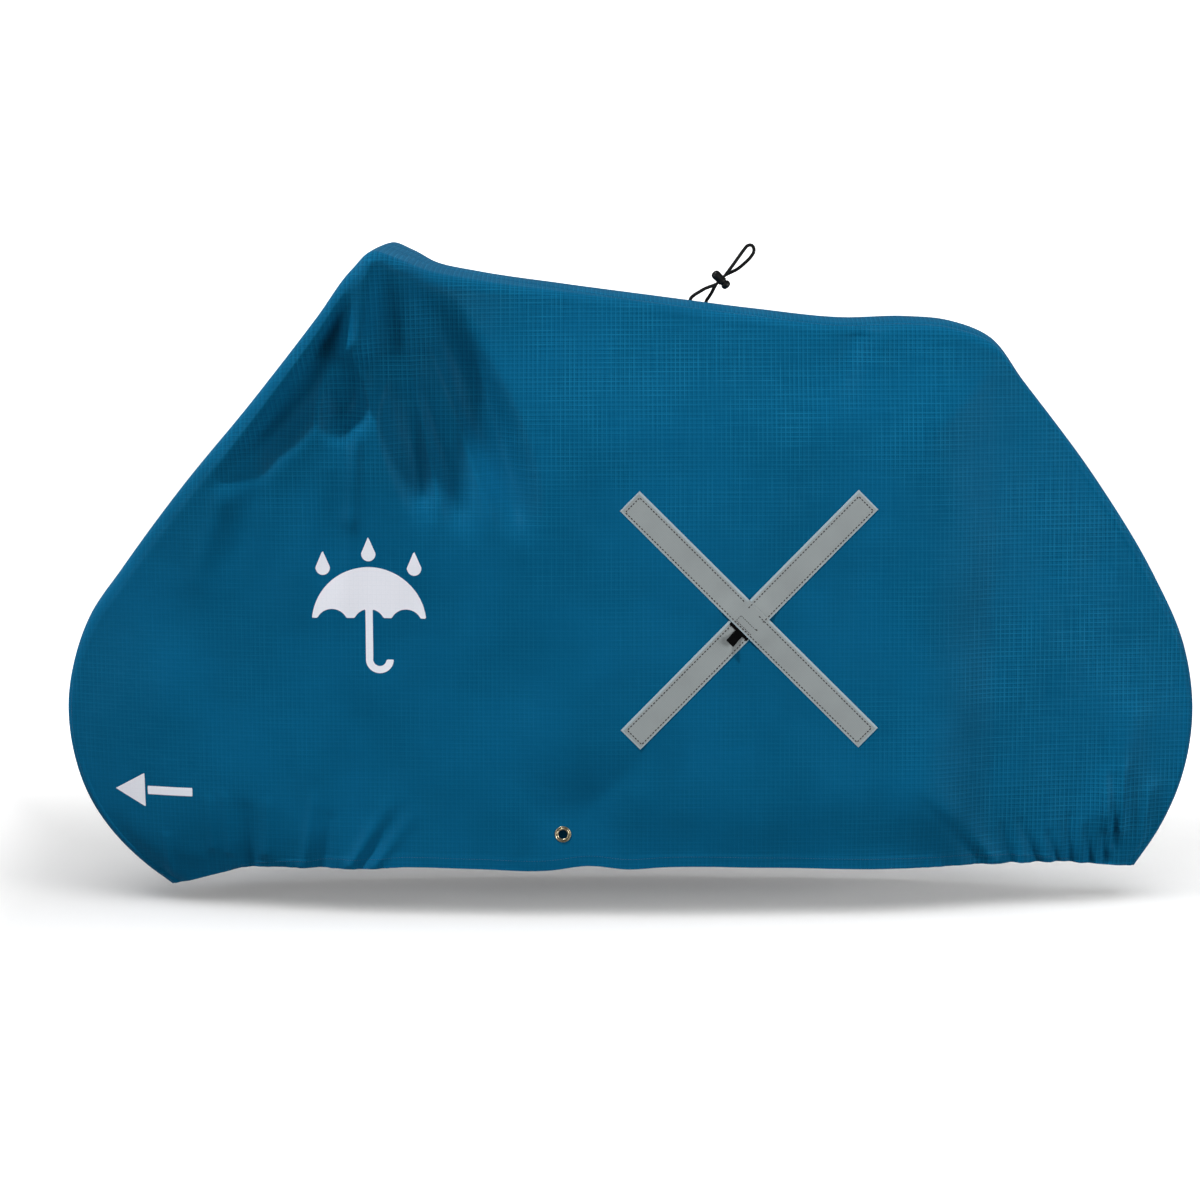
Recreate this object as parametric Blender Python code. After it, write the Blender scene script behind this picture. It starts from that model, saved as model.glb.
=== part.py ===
"""A fitted fabric cover, standing in the shape that it takes over what it covers.

Two side panels are sewn to a long centre gusset that runs up the front, along the
top and down the back. A cross of grey reflective tape, an eyelet near the hem and
a drawcord with a cord lock are fitted to the near side and the top.

Frame: +X runs to the rear, the near side looks to -Y, +Z is up. The origin lies
under the cloth at the front peak, where the cover is held up.
"""

import math
from collections import namedtuple

import bmesh
import bpy
import numpy as np
from mathutils import Matrix, Vector

# Driving sizes, in metres. Heights are above the ground that the hem hangs over.
HELD_HEIGHT = 1.144  # of the origin, just under the cloth at the front peak
CLOTH = 0.002
SEAM_GAP = 0.0004
FIT_GAP = 0.0003

TAPE = 0.001
TAPE_WIDTH = 0.0475
ARM = 0.288  # from the middle of the cross to the end of an arm
RAMP = (0.031, 0.060)  # where the long tape rises over the crossing, from its middle
HIDDEN = 0.006  # where the short tapes stop under the long one, from its middle
TAB_SIDES = (-0.0050, 0.0115)  # the pull tab, along the long tape
TAB_REACH = 0.0527  # its free end, below the long tape's middle
TAB_ROOT = (-0.0195, 0.0220)  # its wide root sewn under the long tape
TAB_ROOT_REACH = 0.0290

EYELET_HOLE = 0.0089  # radius of the hole in the cloth
STRIP = (0.2375, 0.3775)  # the hem strip that holds the eyelet, from and to in x
STRIP_TOP = 0.205

CORD = 0.0046  # diameter
CORD_Y = 0.020
STRAND = 0.0026  # of each strand inside the lock, off its middle plane
LOCK = (0.5805, 1.0868)  # the middle of the lock, x and height
LOCK_BORE = 0.0066
BUTTON_STEM = 0.0063
BUTTON_TRAVEL = 0.003

PANEL_COLUMNS = 76  # cells along the ridge
PANEL_ROWS = 13  # cells from the seam to the hem
GUSSET_ROWS = 4  # cells across the gusset
TURN_WEIGHT = 0.16  # metres of straight cloth that a turn of one radian counts as
HEM_WEIGHT = 1.6  # extra share of rows at the hem
HEM_REACH = 0.09
FOLD_START = 0.10  # how far below the seam the folds reach their full height
FAR_SHIFT = 0.045  # the far side's folds lie this much further back

# One row for each cross-section of the cover, from the front corner of the hem up
# the front, along the top and down the back. A section runs from the ridge point
# to the hem point at hem_x. crown is how far the top falls from the ridge to the
# shoulder, and crest is the radius there. The others are half-widths: at the
# shoulder, a quarter, half and three quarters of the way down, at the hem, and of
# the gusset.
Section = namedtuple(
    "Section", "x height hem_x crown crest shoulder upper middle lower hem seam"
)
SECTIONS = [
    Section(-0.384, 0.030, -0.255, 0.002, 0.030, 0.045, 0.058, 0.068, 0.078, 0.085, 0.040),
    Section(-0.436, 0.071, -0.245, 0.002, 0.032, 0.046, 0.062, 0.075, 0.085, 0.092, 0.042),
    Section(-0.488, 0.125, -0.233, 0.003, 0.034, 0.048, 0.066, 0.082, 0.092, 0.098, 0.044),
    Section(-0.524, 0.181, -0.215, 0.003, 0.036, 0.050, 0.070, 0.088, 0.098, 0.104, 0.046),
    Section(-0.555, 0.275, -0.188, 0.004, 0.038, 0.054, 0.078, 0.098, 0.108, 0.112, 0.050),
    Section(-0.560, 0.360, -0.165, 0.004, 0.040, 0.060, 0.088, 0.108, 0.116, 0.120, 0.054),
    Section(-0.546, 0.435, -0.145, 0.004, 0.042, 0.070, 0.098, 0.116, 0.123, 0.126, 0.058),
    Section(-0.519, 0.505, -0.125, 0.004, 0.044, 0.084, 0.108, 0.124, 0.130, 0.131, 0.062),
    Section(-0.460, 0.590, -0.110, 0.004, 0.046, 0.110, 0.122, 0.132, 0.136, 0.136, 0.066),
    Section(-0.350, 0.735, -0.090, 0.004, 0.048, 0.158, 0.145, 0.144, 0.143, 0.141, 0.070),
    Section(-0.217, 0.893, -0.068, 0.004, 0.048, 0.210, 0.168, 0.155, 0.150, 0.146, 0.072),
    Section(-0.100, 1.038, -0.042, 0.003, 0.044, 0.252, 0.190, 0.165, 0.156, 0.150, 0.074),
    Section(-0.038, 1.118, -0.018, 0.002, 0.036, 0.274, 0.205, 0.171, 0.160, 0.154, 0.075),
    Section(-0.004, 1.147, 0.012, 0.002, 0.032, 0.282, 0.214, 0.175, 0.162, 0.156, 0.075),
    Section(0.034, 1.137, 0.040, 0.004, 0.036, 0.266, 0.210, 0.178, 0.165, 0.159, 0.075),
    Section(0.080, 1.118, 0.078, 0.006, 0.044, 0.212, 0.194, 0.180, 0.169, 0.163, 0.074),
    Section(0.160, 1.102, 0.150, 0.008, 0.044, 0.150, 0.176, 0.180, 0.173, 0.167, 0.073),
    Section(0.300, 1.082, 0.290, 0.009, 0.038, 0.110, 0.158, 0.176, 0.176, 0.171, 0.071),
    Section(0.460, 1.061, 0.450, 0.009, 0.034, 0.094, 0.145, 0.172, 0.178, 0.173, 0.069),
    Section(0.640, 1.038, 0.630, 0.009, 0.032, 0.086, 0.136, 0.164, 0.173, 0.169, 0.067),
    Section(0.790, 1.023, 0.770, 0.010, 0.030, 0.081, 0.124, 0.151, 0.161, 0.159, 0.065),
    Section(0.900, 1.025, 0.865, 0.010, 0.030, 0.086, 0.114, 0.138, 0.149, 0.148, 0.064),
    Section(0.974, 1.018, 0.915, 0.010, 0.030, 0.086, 0.107, 0.129, 0.141, 0.141, 0.062),
    Section(1.045, 0.990, 0.955, 0.008, 0.032, 0.078, 0.096, 0.117, 0.130, 0.131, 0.056),
    Section(1.102, 0.917, 0.985, 0.004, 0.033, 0.068, 0.086, 0.105, 0.118, 0.121, 0.050),
    Section(1.237, 0.738, 1.040, 0.003, 0.033, 0.057, 0.073, 0.091, 0.102, 0.106, 0.046),
    Section(1.336, 0.578, 1.080, 0.003, 0.033, 0.053, 0.066, 0.081, 0.092, 0.096, 0.044),
    Section(1.391, 0.456, 1.110, 0.003, 0.033, 0.051, 0.062, 0.075, 0.085, 0.090, 0.043),
    Section(1.409, 0.335, 1.135, 0.003, 0.033, 0.050, 0.060, 0.072, 0.080, 0.084, 0.042),
    Section(1.392, 0.218, 1.155, 0.003, 0.032, 0.048, 0.056, 0.066, 0.074, 0.078, 0.041),
    Section(1.354, 0.128, 1.172, 0.002, 0.030, 0.045, 0.052, 0.060, 0.068, 0.072, 0.040),
    Section(1.313, 0.063, 1.190, 0.002, 0.028, 0.042, 0.048, 0.055, 0.062, 0.066, 0.038),
]

# The hem's height along its length, one row for each rise or dip.
HemPoint = namedtuple("HemPoint", "x height")
HEM_LINE = [
    HemPoint(-0.384, 0.030),
    HemPoint(-0.315, 0.053),
    HemPoint(-0.255, 0.070),
    HemPoint(-0.146, 0.079),
    HemPoint(-0.040, 0.081),
    HemPoint(0.043, 0.086),
    HemPoint(0.150, 0.085),
    HemPoint(0.285, 0.083),
    HemPoint(0.350, 0.091),
    HemPoint(0.420, 0.085),
    HemPoint(0.480, 0.089),
    HemPoint(0.646, 0.087),
    HemPoint(0.876, 0.081),
    HemPoint(1.050, 0.080),
    HemPoint(1.190, 0.076),
    HemPoint(1.313, 0.063),
]

# Main folds of a side: a soft ridge, or a trough where rise is negative, from one
# point of the side to another, both as x and height.
Fold = namedtuple("Fold", "x1 height1 x2 height2 reach rise")
FOLDS = [
    Fold(-0.040, 1.080, -0.055, 0.930, 0.030, 0.012),  # under the wide front shoulder
    Fold(-0.050, 1.020, -0.290, 0.700, 0.045, -0.016),  # trough beside the front edge
    Fold(0.020, 1.040, 0.010, 0.880, 0.050, -0.014),  # hollow under the shoulder
    Fold(-0.030, 0.840, -0.075, 0.640, 0.028, 0.012),  # ridge that leaves the hollow
    Fold(-0.110, 0.830, -0.330, 0.520, 0.045, 0.010),  # long ridge down to the front
    Fold(0.100, 1.000, 0.215, 0.720, 0.035, 0.012),  # diagonal ridge behind the peak
    Fold(0.060, 0.850, 0.120, 0.690, 0.030, -0.010),  # trough in front of it
    Fold(0.820, 0.960, 0.775, 0.860, 0.030, -0.006),  # under the rear hump
    Fold(0.930, 0.240, 1.010, 0.130, 0.030, -0.008),  # slack above the rear hem
]

# Gathers where elastic draws the hem in, at the front and at the rear.
Gather = namedtuple("Gather", "start end pitch depth reach")
GATHERS = [
    Gather(-0.384, 0.080, 0.062, 0.0055, 0.110),
    Gather(0.880, 1.307, 0.056, 0.0050, 0.100),
]


# Curves and the shape of the cloth


def smooth(stops, values, places):
    """Reads a smooth curve through the values at the stops."""
    stops, values = np.asarray(stops, float), np.asarray(values, float)
    slopes = np.gradient(values, stops)
    i = np.clip(np.searchsorted(stops, places, side="right") - 1, 0, len(stops) - 2)
    width = stops[i + 1] - stops[i]
    t = (places - stops[i]) / width
    return (
        (2 * t**3 - 3 * t**2 + 1) * values[i]
        + (t**3 - 2 * t**2 + t) * width * slopes[i]
        + (3 * t**2 - 2 * t**3) * values[i + 1]
        + (t**3 - t**2) * width * slopes[i + 1]
    )


def ease(value, low, high):
    """0 below low, 1 above high, and a smooth step between."""
    t = np.clip((value - low) / (high - low), 0, 1)
    return t * t * (3 - 2 * t)


def lengths_along(points):
    steps = np.linalg.norm(np.diff(points, axis=0), axis=1)
    return np.concatenate([[0.0], np.cumsum(steps)])


RIDGE_STOPS = lengths_along(np.array([(s.x, s.height) for s in SECTIONS]))


def section_at(place):
    """The cross-section at a length along the ridge, and the height of its hem."""
    columns = zip(*SECTIONS)
    section = Section(*(float(smooth(RIDGE_STOPS, column, place)) for column in columns))
    hem_x, hem_height = zip(*HEM_LINE)
    return section, float(smooth(hem_x, hem_height, section.hem_x))


def half_profile(section, depth):
    """Half-width and depth below the ridge of one half of a section, finely."""
    edge = section.shoulder - section.crest
    top = np.linspace(0, 1, 10)
    angles = np.linspace(0, math.pi / 2, 9)[1:]
    side_start = section.crown + section.crest
    stops = [side_start, 0.25 * depth, 0.5 * depth, 0.75 * depth, depth]
    widths = [section.shoulder, section.upper, section.middle, section.lower, section.hem]
    side = np.linspace(side_start, depth, 40)[1:]
    return np.column_stack(
        [
            np.concatenate(
                [edge * top, edge + section.crest * np.sin(angles), smooth(stops, widths, side)]
            ),
            np.concatenate(
                [
                    section.crown * top**2,
                    section.crown + section.crest * (1 - np.cos(angles)),
                    side,
                ]
            ),
        ]
    )


def resample(profile, first, last, count):
    """Splits a profile between two lengths, with more points where it turns and at
    its end."""
    length = lengths_along(profile)
    fine = np.linspace(first, last, 160)
    points = np.column_stack([np.interp(fine, length, axis) for axis in profile.T])
    steps = np.diff(points, axis=0)
    heading = np.unwrap(np.arctan2(steps[:, 1], steps[:, 0]))
    turn = np.abs(np.diff(heading, prepend=heading[0]))
    step = np.linalg.norm(steps, axis=1)
    to_end = length[-1] - fine[1:]
    weight = step * (1 + HEM_WEIGHT * np.exp(-to_end / HEM_REACH)) + TURN_WEIGHT * turn
    total = np.concatenate([[0.0], np.cumsum(weight)])
    at = np.interp(np.linspace(0, total[-1], count + 1), total, fine)
    return np.column_stack([np.interp(at, fine, axis) for axis in points.T]), at


def fold_height(x, height, shift):
    """How far the main folds push the side out at a point of it."""
    rise = 0 * x
    for fold in FOLDS:
        ax, ah = fold.x1 + shift, fold.height1
        bx, bh = fold.x2 + shift, fold.height2
        run = math.hypot(bx - ax, bh - ah)
        along = ((x - ax) * (bx - ax) + (height - ah) * (bh - ah)) / run**2
        t = np.clip(along, 0, 1)
        away = np.hypot(x - ax - t * (bx - ax), height - ah - t * (bh - ah))
        rise = rise + fold.rise * np.exp(-((away / fold.reach) ** 2))
    return rise


def gather_height(x, height, shift):
    """How far the gathers push the side out: waves that fade above the hem."""
    hem_x, hem_height = zip(*HEM_LINE)
    above = height - smooth(hem_x, hem_height, np.clip(x, hem_x[0], hem_x[-1]))
    rise = 0 * x
    for gather in GATHERS:
        inside = ease(x, gather.start, gather.start + 0.03)
        inside = inside * (1 - ease(x, gather.end - 0.06, gather.end))
        beat = 2 * math.pi * (x + shift) / gather.pitch
        wave = np.sin(beat + 0.8 * np.sin(0.37 * beat))
        fade = np.exp(-np.maximum(above, 0) / gather.reach)
        rise = rise + gather.depth * wave * inside * fade
    return rise


# The near side lies in one plane under the tape cross, and in another round the
# eyelet. Each row: the middle, the half-sizes of its flat part, how wide its edge
# blends, the distance from the centre line and how that grows with x and height.
Flat = namedtuple("Flat", "x height half_x half_height blend out grow_x grow_height")
TAPE_FLAT = Flat(0.6255, 0.5165, 0.27, 0.27, 0.16, 0.1640, -0.060, -0.060)
EYELET_FLAT = Flat(0.3075, 0.1465, 0.085, 0.085, 0.05, 0.1725, 0.0, 0.0)


def flat_width(flat, x, height):
    return flat.out + flat.grow_x * (x - flat.x) + flat.grow_height * (height - flat.height)


def flatten(flat, x, height, width):
    """Draws the half-widths onto a flat part of the side."""
    edge = np.maximum(
        (abs(x - flat.x) - flat.half_x) / flat.blend,
        (abs(height - flat.height) - flat.half_height) / flat.blend,
    )
    share = 1 - ease(edge, 0, 1)
    return width * (1 - share) + flat_width(flat, x, height) * share


def half_column(place, side):
    """Points of one half of a section, from the ridge over the seam to the hem."""
    section, hem_height = section_at(place)
    ridge = np.array([section.x, section.height])
    hem = np.array([section.hem_x, hem_height])
    depth = float(np.linalg.norm(hem - ridge))
    profile = half_profile(section, depth)
    end = lengths_along(profile)[-1]
    top, top_at = resample(profile, 0.0, section.seam, GUSSET_ROWS // 2)
    rest, rest_at = resample(profile, section.seam, end, PANEL_ROWS)
    spots, at = np.vstack([top, rest[1:]]), np.concatenate([top_at, rest_at[1:]])
    x, height = (ridge + (hem - ridge) * spots[:, 1:] / depth).T
    shift = 0.0 if side < 0 else FAR_SHIFT
    folds = fold_height(x, height, shift) + gather_height(x, height, shift)
    width = spots[:, 0] + folds * ease(at - section.seam, 0, FOLD_START)
    if side < 0:
        width = flatten(TAPE_FLAT, x, height, width)
        width = flatten(EYELET_FLAT, x, height, width)
    return np.column_stack([x, side * width, height - HELD_HEIGHT])


def skin():
    """The whole outer face as columns of points from the far hem over the top to
    the near hem, and its normals."""
    points = np.array(
        [
            np.vstack([half_column(place, 1)[:0:-1], half_column(place, -1)])
            for place in ridge_places()
        ]
    )
    along, across = np.gradient(points, axis=0), np.gradient(points, axis=1)
    normals = np.cross(across, along)
    return points, normals / np.linalg.norm(normals, axis=2, keepdims=True)


# Meshes


def material(name, colour, roughness, metallic=0.0):
    made = bpy.data.materials.new(name)
    made.use_nodes = True
    shader = made.node_tree.nodes["Principled BSDF"]
    shader.inputs["Base Color"].default_value = (*colour, 1)
    shader.inputs["Roughness"].default_value = roughness
    shader.inputs["Metallic"].default_value = metallic
    return made


def add_object(name, mesh, finish):
    thing = bpy.data.objects.new(name, mesh)
    thing.data.materials.append(finish)
    bpy.context.scene.collection.objects.link(thing)
    return thing


def mesh_from(name, bm):
    bmesh.ops.recalc_face_normals(bm, faces=bm.faces)
    mesh = bpy.data.meshes.new(name)
    bm.to_mesh(mesh)
    bm.free()
    mesh.shade_smooth()
    return mesh


def cloth_mesh(name, points, normals, first_gap, last_gap):
    """A sheet of cloth with these outer points, drawn back by half a seam's gap at
    its first and last rows where that is asked for."""
    outer = points.copy()
    for row, inward, wanted in ((0, 1, first_gap), (-1, -2, last_gap)):
        if wanted:
            step = points[:, inward] - points[:, row]
            step = step / np.linalg.norm(step, axis=1, keepdims=True)
            outer[:, row] += step * SEAM_GAP / 2
    bm = bmesh.new()
    front, back = [
        [[bm.verts.new(point) for point in column] for column in layer]
        for layer in (outer, outer - CLOTH * normals)
    ]
    for i in range(len(front) - 1):
        for j in range(len(front[0]) - 1):
            for grid in (front, back):
                quad = [grid[i][j], grid[i][j + 1], grid[i + 1][j + 1], grid[i + 1][j]]
                bm.faces.new(quad if grid is front else quad[::-1])
    for side_front, side_back in (
        (front[0], back[0]),
        (front[-1][::-1], back[-1][::-1]),
        ([column[0] for column in front][::-1], [column[0] for column in back][::-1]),
        ([column[-1] for column in front], [column[-1] for column in back]),
    ):
        for i in range(len(side_front) - 1):
            bm.faces.new([side_front[i], side_back[i], side_back[i + 1], side_front[i + 1]])
    mesh = mesh_from(name, bm)
    mesh.set_sharp_from_angle(angle=math.radians(60))
    return mesh


def cut(thing, cutter, operation="DIFFERENCE"):
    boolean = thing.modifiers.new(operation.title(), "BOOLEAN")
    boolean.operation = operation
    boolean.object = cutter
    cutter.hide_render = True
    cutter.display_type = "WIRE"


def ridge_places():
    """Lengths along the ridge, one for each column, closer round the peaks."""
    fine = np.linspace(0, RIDGE_STOPS[-1], 2000)
    xs, heights, hem_xs = (
        smooth(RIDGE_STOPS, column, fine) for column in list(zip(*SECTIONS))[:3]
    )
    heading = np.unwrap(np.arctan2(np.gradient(heights), np.gradient(xs)))
    turn = np.abs(np.gradient(heading))
    step = np.full_like(fine, fine[1])
    weight = step + 0.05 * turn + 0.5 * np.abs(np.gradient(hem_xs))
    total = np.cumsum(weight) - weight[0]
    return np.interp(np.linspace(0, total[-1], PANEL_COLUMNS + 1), total, fine)


def block(name, low, high, turn=Matrix()):
    """A plain box between two corners, for cutting."""
    bm = bmesh.new()
    size = Vector(high) - Vector(low)
    middle = (Vector(high) + Vector(low)) / 2
    frame = Matrix.Translation(middle) @ Matrix.Diagonal((*size, 1))
    bmesh.ops.create_cube(bm, size=1, matrix=frame)
    thing = bpy.data.objects.new(name, mesh_from(name, bm))
    thing.data.shade_flat()
    thing.matrix_world = turn
    bpy.context.scene.collection.objects.link(thing)
    return thing


def turned(name, outline, steps=32):
    """A solid turned about local Z from an outline of (radius, z), open or closed.
    An open outline starts and ends on the axis."""
    bm = bmesh.new()
    rings = []
    for radius, z in outline:
        if radius == 0:
            rings.append([bm.verts.new((0, 0, z))] * steps)
            continue
        angles = [2 * math.pi * i / steps for i in range(steps)]
        rings.append(
            [bm.verts.new((radius * math.cos(a), radius * math.sin(a), z)) for a in angles]
        )
    pairs = list(zip(rings, rings[1:]))
    if outline[0][0] > 0:
        pairs.append((rings[-1], rings[0]))
    for low, high in pairs:
        for i in range(steps):
            j = (i + 1) % steps
            corners = dict.fromkeys([low[i], low[j], high[j], high[i]])
            bm.faces.new(list(corners))
    mesh = mesh_from(name, bm)
    mesh.set_sharp_from_angle(angle=math.radians(40))
    return mesh


def plate(name, outline, lift, frame, finish):
    """A flat piece of tape or webbing: an outline in a frame, raised off it by lift."""
    bm = bmesh.new()
    low, high = [[bm.verts.new((a, b, z)) for a, b in outline] for z in (lift, lift + TAPE)]
    bm.faces.new(high)
    bm.faces.new(low[::-1])
    count = len(outline)
    for i in range(count):
        j = (i + 1) % count
        bm.faces.new([low[i], low[j], high[j], high[i]])
    mesh = mesh_from(name, bm)
    mesh.shade_flat()
    add_object(name, mesh, finish).matrix_world = frame


def raised_strip(name, stations, heights, frame, finish):
    """A strip of tape along a frame's X, raised off it by a height at each station."""
    bm = bmesh.new()
    half = TAPE_WIDTH / 2
    corners = ((-half, 0), (half, 0), (half, TAPE), (-half, TAPE))
    rows = [
        [bm.verts.new((a, b, z + up)) for a, z in zip(stations, heights)] for b, up in corners
    ]
    for row, following in zip(rows, rows[1:] + rows[:1]):
        for i in range(len(stations) - 1):
            bm.faces.new([row[i], row[i + 1], following[i + 1], following[i]])
    bm.faces.new([row[0] for row in rows])
    bm.faces.new([row[-1] for row in rows])
    mesh = mesh_from(name, bm)
    mesh.set_sharp_from_angle(angle=math.radians(40))
    add_object(name, mesh, finish).matrix_world = frame


def build_cloth(finish):
    points, normals = skin()
    far_seam = PANEL_ROWS
    near_seam = PANEL_ROWS + GUSSET_ROWS
    pieces = {}
    for name, first, last in (
        ("side_panel_far", 0, far_seam),
        ("centre_gusset", far_seam, near_seam),
        ("side_panel_near", near_seam, near_seam + PANEL_ROWS),
    ):
        rows = slice(first, last + 1)
        gaps = first > 0, last < near_seam + PANEL_ROWS
        mesh = cloth_mesh(name, points[:, rows], normals[:, rows], *gaps)
        pieces[name] = add_object(name, mesh, finish)
    build_eyelet_strip(pieces["side_panel_near"])


def build_eyelet_strip(panel):
    """Parts the piece of the near hem that holds the eyelet from the panel."""
    strip = bpy.data.objects.new("eyelet_strip", panel.data.copy())
    bpy.context.scene.collection.objects.link(strip)
    outside, inside = -1.3 * EYELET_FLAT.out, -0.6 * EYELET_FLAT.out
    for name, target, spare, operation in (
        ("Strip opening", panel, FIT_GAP, "DIFFERENCE"),
        ("Strip outline", strip, 0.0, "INTERSECT"),
    ):
        low = (STRIP[0] - spare, outside, -HELD_HEIGHT)
        high = (STRIP[1] + spare, inside, STRIP_TOP + spare - HELD_HEIGHT)
        cut(target, block(name, low, high), operation)
    through = 0.02
    hole = [(0, -through), (EYELET_HOLE, -through), (EYELET_HOLE, through), (0, through)]
    cutter = bpy.data.objects.new("Eyelet hole", turned("Eyelet hole", hole))
    cutter.matrix_world = flat_frame(EYELET_FLAT)
    bpy.context.scene.collection.objects.link(cutter)
    cut(strip, cutter)


def flat_frame(flat, turn=0.0):
    """A frame on a flat part of the near side: local Z points out of the cloth."""
    along = Vector((1, -flat.grow_x, 0)).normalized()
    up = Vector((0, -flat.grow_height, 1))
    out = along.cross(up).normalized()
    up = out.cross(along)
    origin = Vector((flat.x, -flat.out, flat.height - HELD_HEIGHT))
    axes = Matrix((along, up, out)).transposed().to_4x4()
    return Matrix.Translation(origin) @ axes @ Matrix.Rotation(turn, 4, "Z")


def build_eyelet(finish):
    """A brass eyelet clinched round its hole: radius and height off the cloth."""
    outline = [
        (0.0140, 0.0003),
        (0.0140, 0.0009),
        (0.0134, 0.0014),
        (0.0125, 0.0013),
        (0.0116, 0.0008),
        (0.0110, 0.0013),
        (0.0102, 0.0021),
        (0.0090, 0.0024),
        (0.0082, 0.0020),
        (0.0078, 0.0010),
        (0.0078, -0.0022),
        (0.0082, -0.0031),
        (0.0096, -0.0034),
        (0.0120, -0.0032),
        (0.0124, -0.0023),
        (0.0086, -0.0023),
        (0.0086, 0.0003),
    ]
    ring = add_object("eyelet", turned("eyelet", outline), finish)
    ring.matrix_world = flat_frame(EYELET_FLAT)


def build_cross(tape, webbing):
    """Four flat pieces in layers: the short tapes on the cloth, the pull tab on
    them, and the long tape, which rises over both where they cross."""
    layer = FIT_GAP + TAPE
    long_frame = flat_frame(TAPE_FLAT, math.radians(-45))
    short_frame = flat_frame(TAPE_FLAT, math.radians(45))
    half = TAPE_WIDTH / 2

    ramp = np.linspace(*RAMP, 5)
    stations = [-ARM, *-ramp[::-1], *ramp, ARM]
    heights = [FIT_GAP + 2 * layer * (1 - ease(abs(a), *RAMP)) for a in stations]
    raised_strip("tape_long", stations, heights, long_frame, tape)
    for name, start, end in (("tape_upper", HIDDEN, ARM), ("tape_lower", -ARM, -HIDDEN)):
        outline = [(start, -half), (end, -half), (end, half), (start, half)]
        plate(name, outline, FIT_GAP, short_frame, tape)
    root_low, root_high = TAB_ROOT
    low, high = TAB_SIDES
    outline = [
        (root_low, -half / 2),
        (root_low, -TAB_ROOT_REACH),
        (low, -TAB_ROOT_REACH),
        (low, -TAB_REACH),
        (high, -TAB_REACH),
        (high, -TAB_ROOT_REACH),
        (root_high, -TAB_ROOT_REACH),
        (root_high, -half / 2),
    ]
    plate("pull_tab", outline, FIT_GAP + layer, long_frame, webbing)


# The drawcord, as x, distance past the strands' middle plane, and height: out of
# the top, through the lock, round the loop and back through the lock.
CORD_ROUTE = [
    (0.5273, -0.0060, 1.0512),
    (0.5285, -0.0060, 1.0548),
    (0.5335, -0.0058, 1.0598),
    (0.5425, -0.0052, 1.0655),
    (0.5530, -0.0042, 1.0715),
    (0.5645, -0.0032, 1.0760),
    (0.5734, -0.0026, 1.0797),
    (0.5770, -0.0026, 1.0833),
    (0.5840, -0.0026, 1.0903),
    (0.5876, -0.0026, 1.0939),
    (0.5945, -0.0032, 1.1030),
    (0.6050, -0.0036, 1.1175),
    (0.6150, -0.0030, 1.1315),
    (0.6215, -0.0020, 1.1402),
    (0.6270, -0.0010, 1.1458),
    (0.6330, 0.0000, 1.1464),
    (0.6372, 0.0010, 1.1418),
    (0.6375, 0.0020, 1.1350),
    (0.6325, 0.0030, 1.1262),
    (0.6210, 0.0036, 1.1145),
    (0.6085, 0.0036, 1.1045),
    (0.5970, 0.0030, 1.0988),
    (0.5876, 0.0026, 1.0939),
    (0.5840, 0.0026, 1.0903),
    (0.5770, 0.0026, 1.0833),
    (0.5734, 0.0026, 1.0797),
    (0.5695, 0.0032, 1.0735),
    (0.5650, 0.0044, 1.0645),
    (0.5598, 0.0056, 1.0562),
    (0.5560, 0.0062, 1.0505),
    (0.5548, 0.0064, 1.0461),
]
CORD_POINTS = 46


def build_cord(finish):
    route = np.array(CORD_ROUTE)
    length = lengths_along(route)
    places = np.linspace(0, length[-1], CORD_POINTS)
    x, y, height = (smooth(length, axis, places) for axis in route.T)
    curve = bpy.data.curves.new("drawcord", "CURVE")
    curve.dimensions = "3D"
    curve.bevel_depth = CORD / 2
    curve.bevel_resolution = 2
    curve.use_fill_caps = True
    spline = curve.splines.new("POLY")
    spline.points.add(CORD_POINTS - 1)
    for point, place in zip(spline.points, zip(x, y + CORD_Y, height - HELD_HEIGHT)):
        point.co = (*place, 1)
    add_object("drawcord", curve, finish)


def lock_piece(name, outline, cuts, frame, finish):
    """A turned piece of the lock, cut by blocks in its own frame."""
    piece = add_object(name, turned(name, outline, steps=24), finish)
    piece.matrix_world = frame
    for number, (low, high) in enumerate(cuts):
        cut(piece, block(f"{name} cut {number}", low, high, frame))
    return piece


def build_lock(finish):
    """The barrel and the button in it. Local Z runs from the barrel's closed end to
    the button, and both strands pass along local X."""
    frame = Matrix.Translation((LOCK[0], CORD_Y, LOCK[1] - HELD_HEIGHT))
    frame = frame @ Matrix.Rotation(math.radians(135), 4, "Y")
    side = CORD / 2 + FIT_GAP
    wide = STRAND + side
    mouth, floor = 0.0055, -0.0088
    barrel = [
        (0, -0.0185),
        (0.0036, -0.0181),
        (0.0062, -0.0165),
        (0.0077, -0.0138),
        (0.0081, -0.0105),
        (0.0079, -0.0060),
        (0.0077, 0.0000),
        (0.0078, 0.0046),
        (0.0073, mouth),
        (LOCK_BORE, mouth),
        (LOCK_BORE, floor),
        (0, floor),
    ]
    lock_piece(
        "cord_lock_body",
        barrel,
        [((-0.02, -wide, -side), (0.02, wide, side))],
        frame,
        finish,
    )
    head = mouth + BUTTON_TRAVEL + FIT_GAP
    button = [
        (0, -0.0052),
        (BUTTON_STEM - 0.0005, -0.0052),
        (BUTTON_STEM, -0.0047),
        (BUTTON_STEM, head),
        (0.0074, head),
        (0.0081, head + 0.0012),
        (0.0082, head + 0.0045),
        (0.0070, head + 0.0078),
        (0.0042, head + 0.0096),
        (0, head + 0.0100),
    ]
    lock_piece(
        "cord_lock_button",
        button,
        [((-0.02, -wide, -side), (0.02, wide, side + BUTTON_TRAVEL))],
        frame,
        finish,
    )


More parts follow.
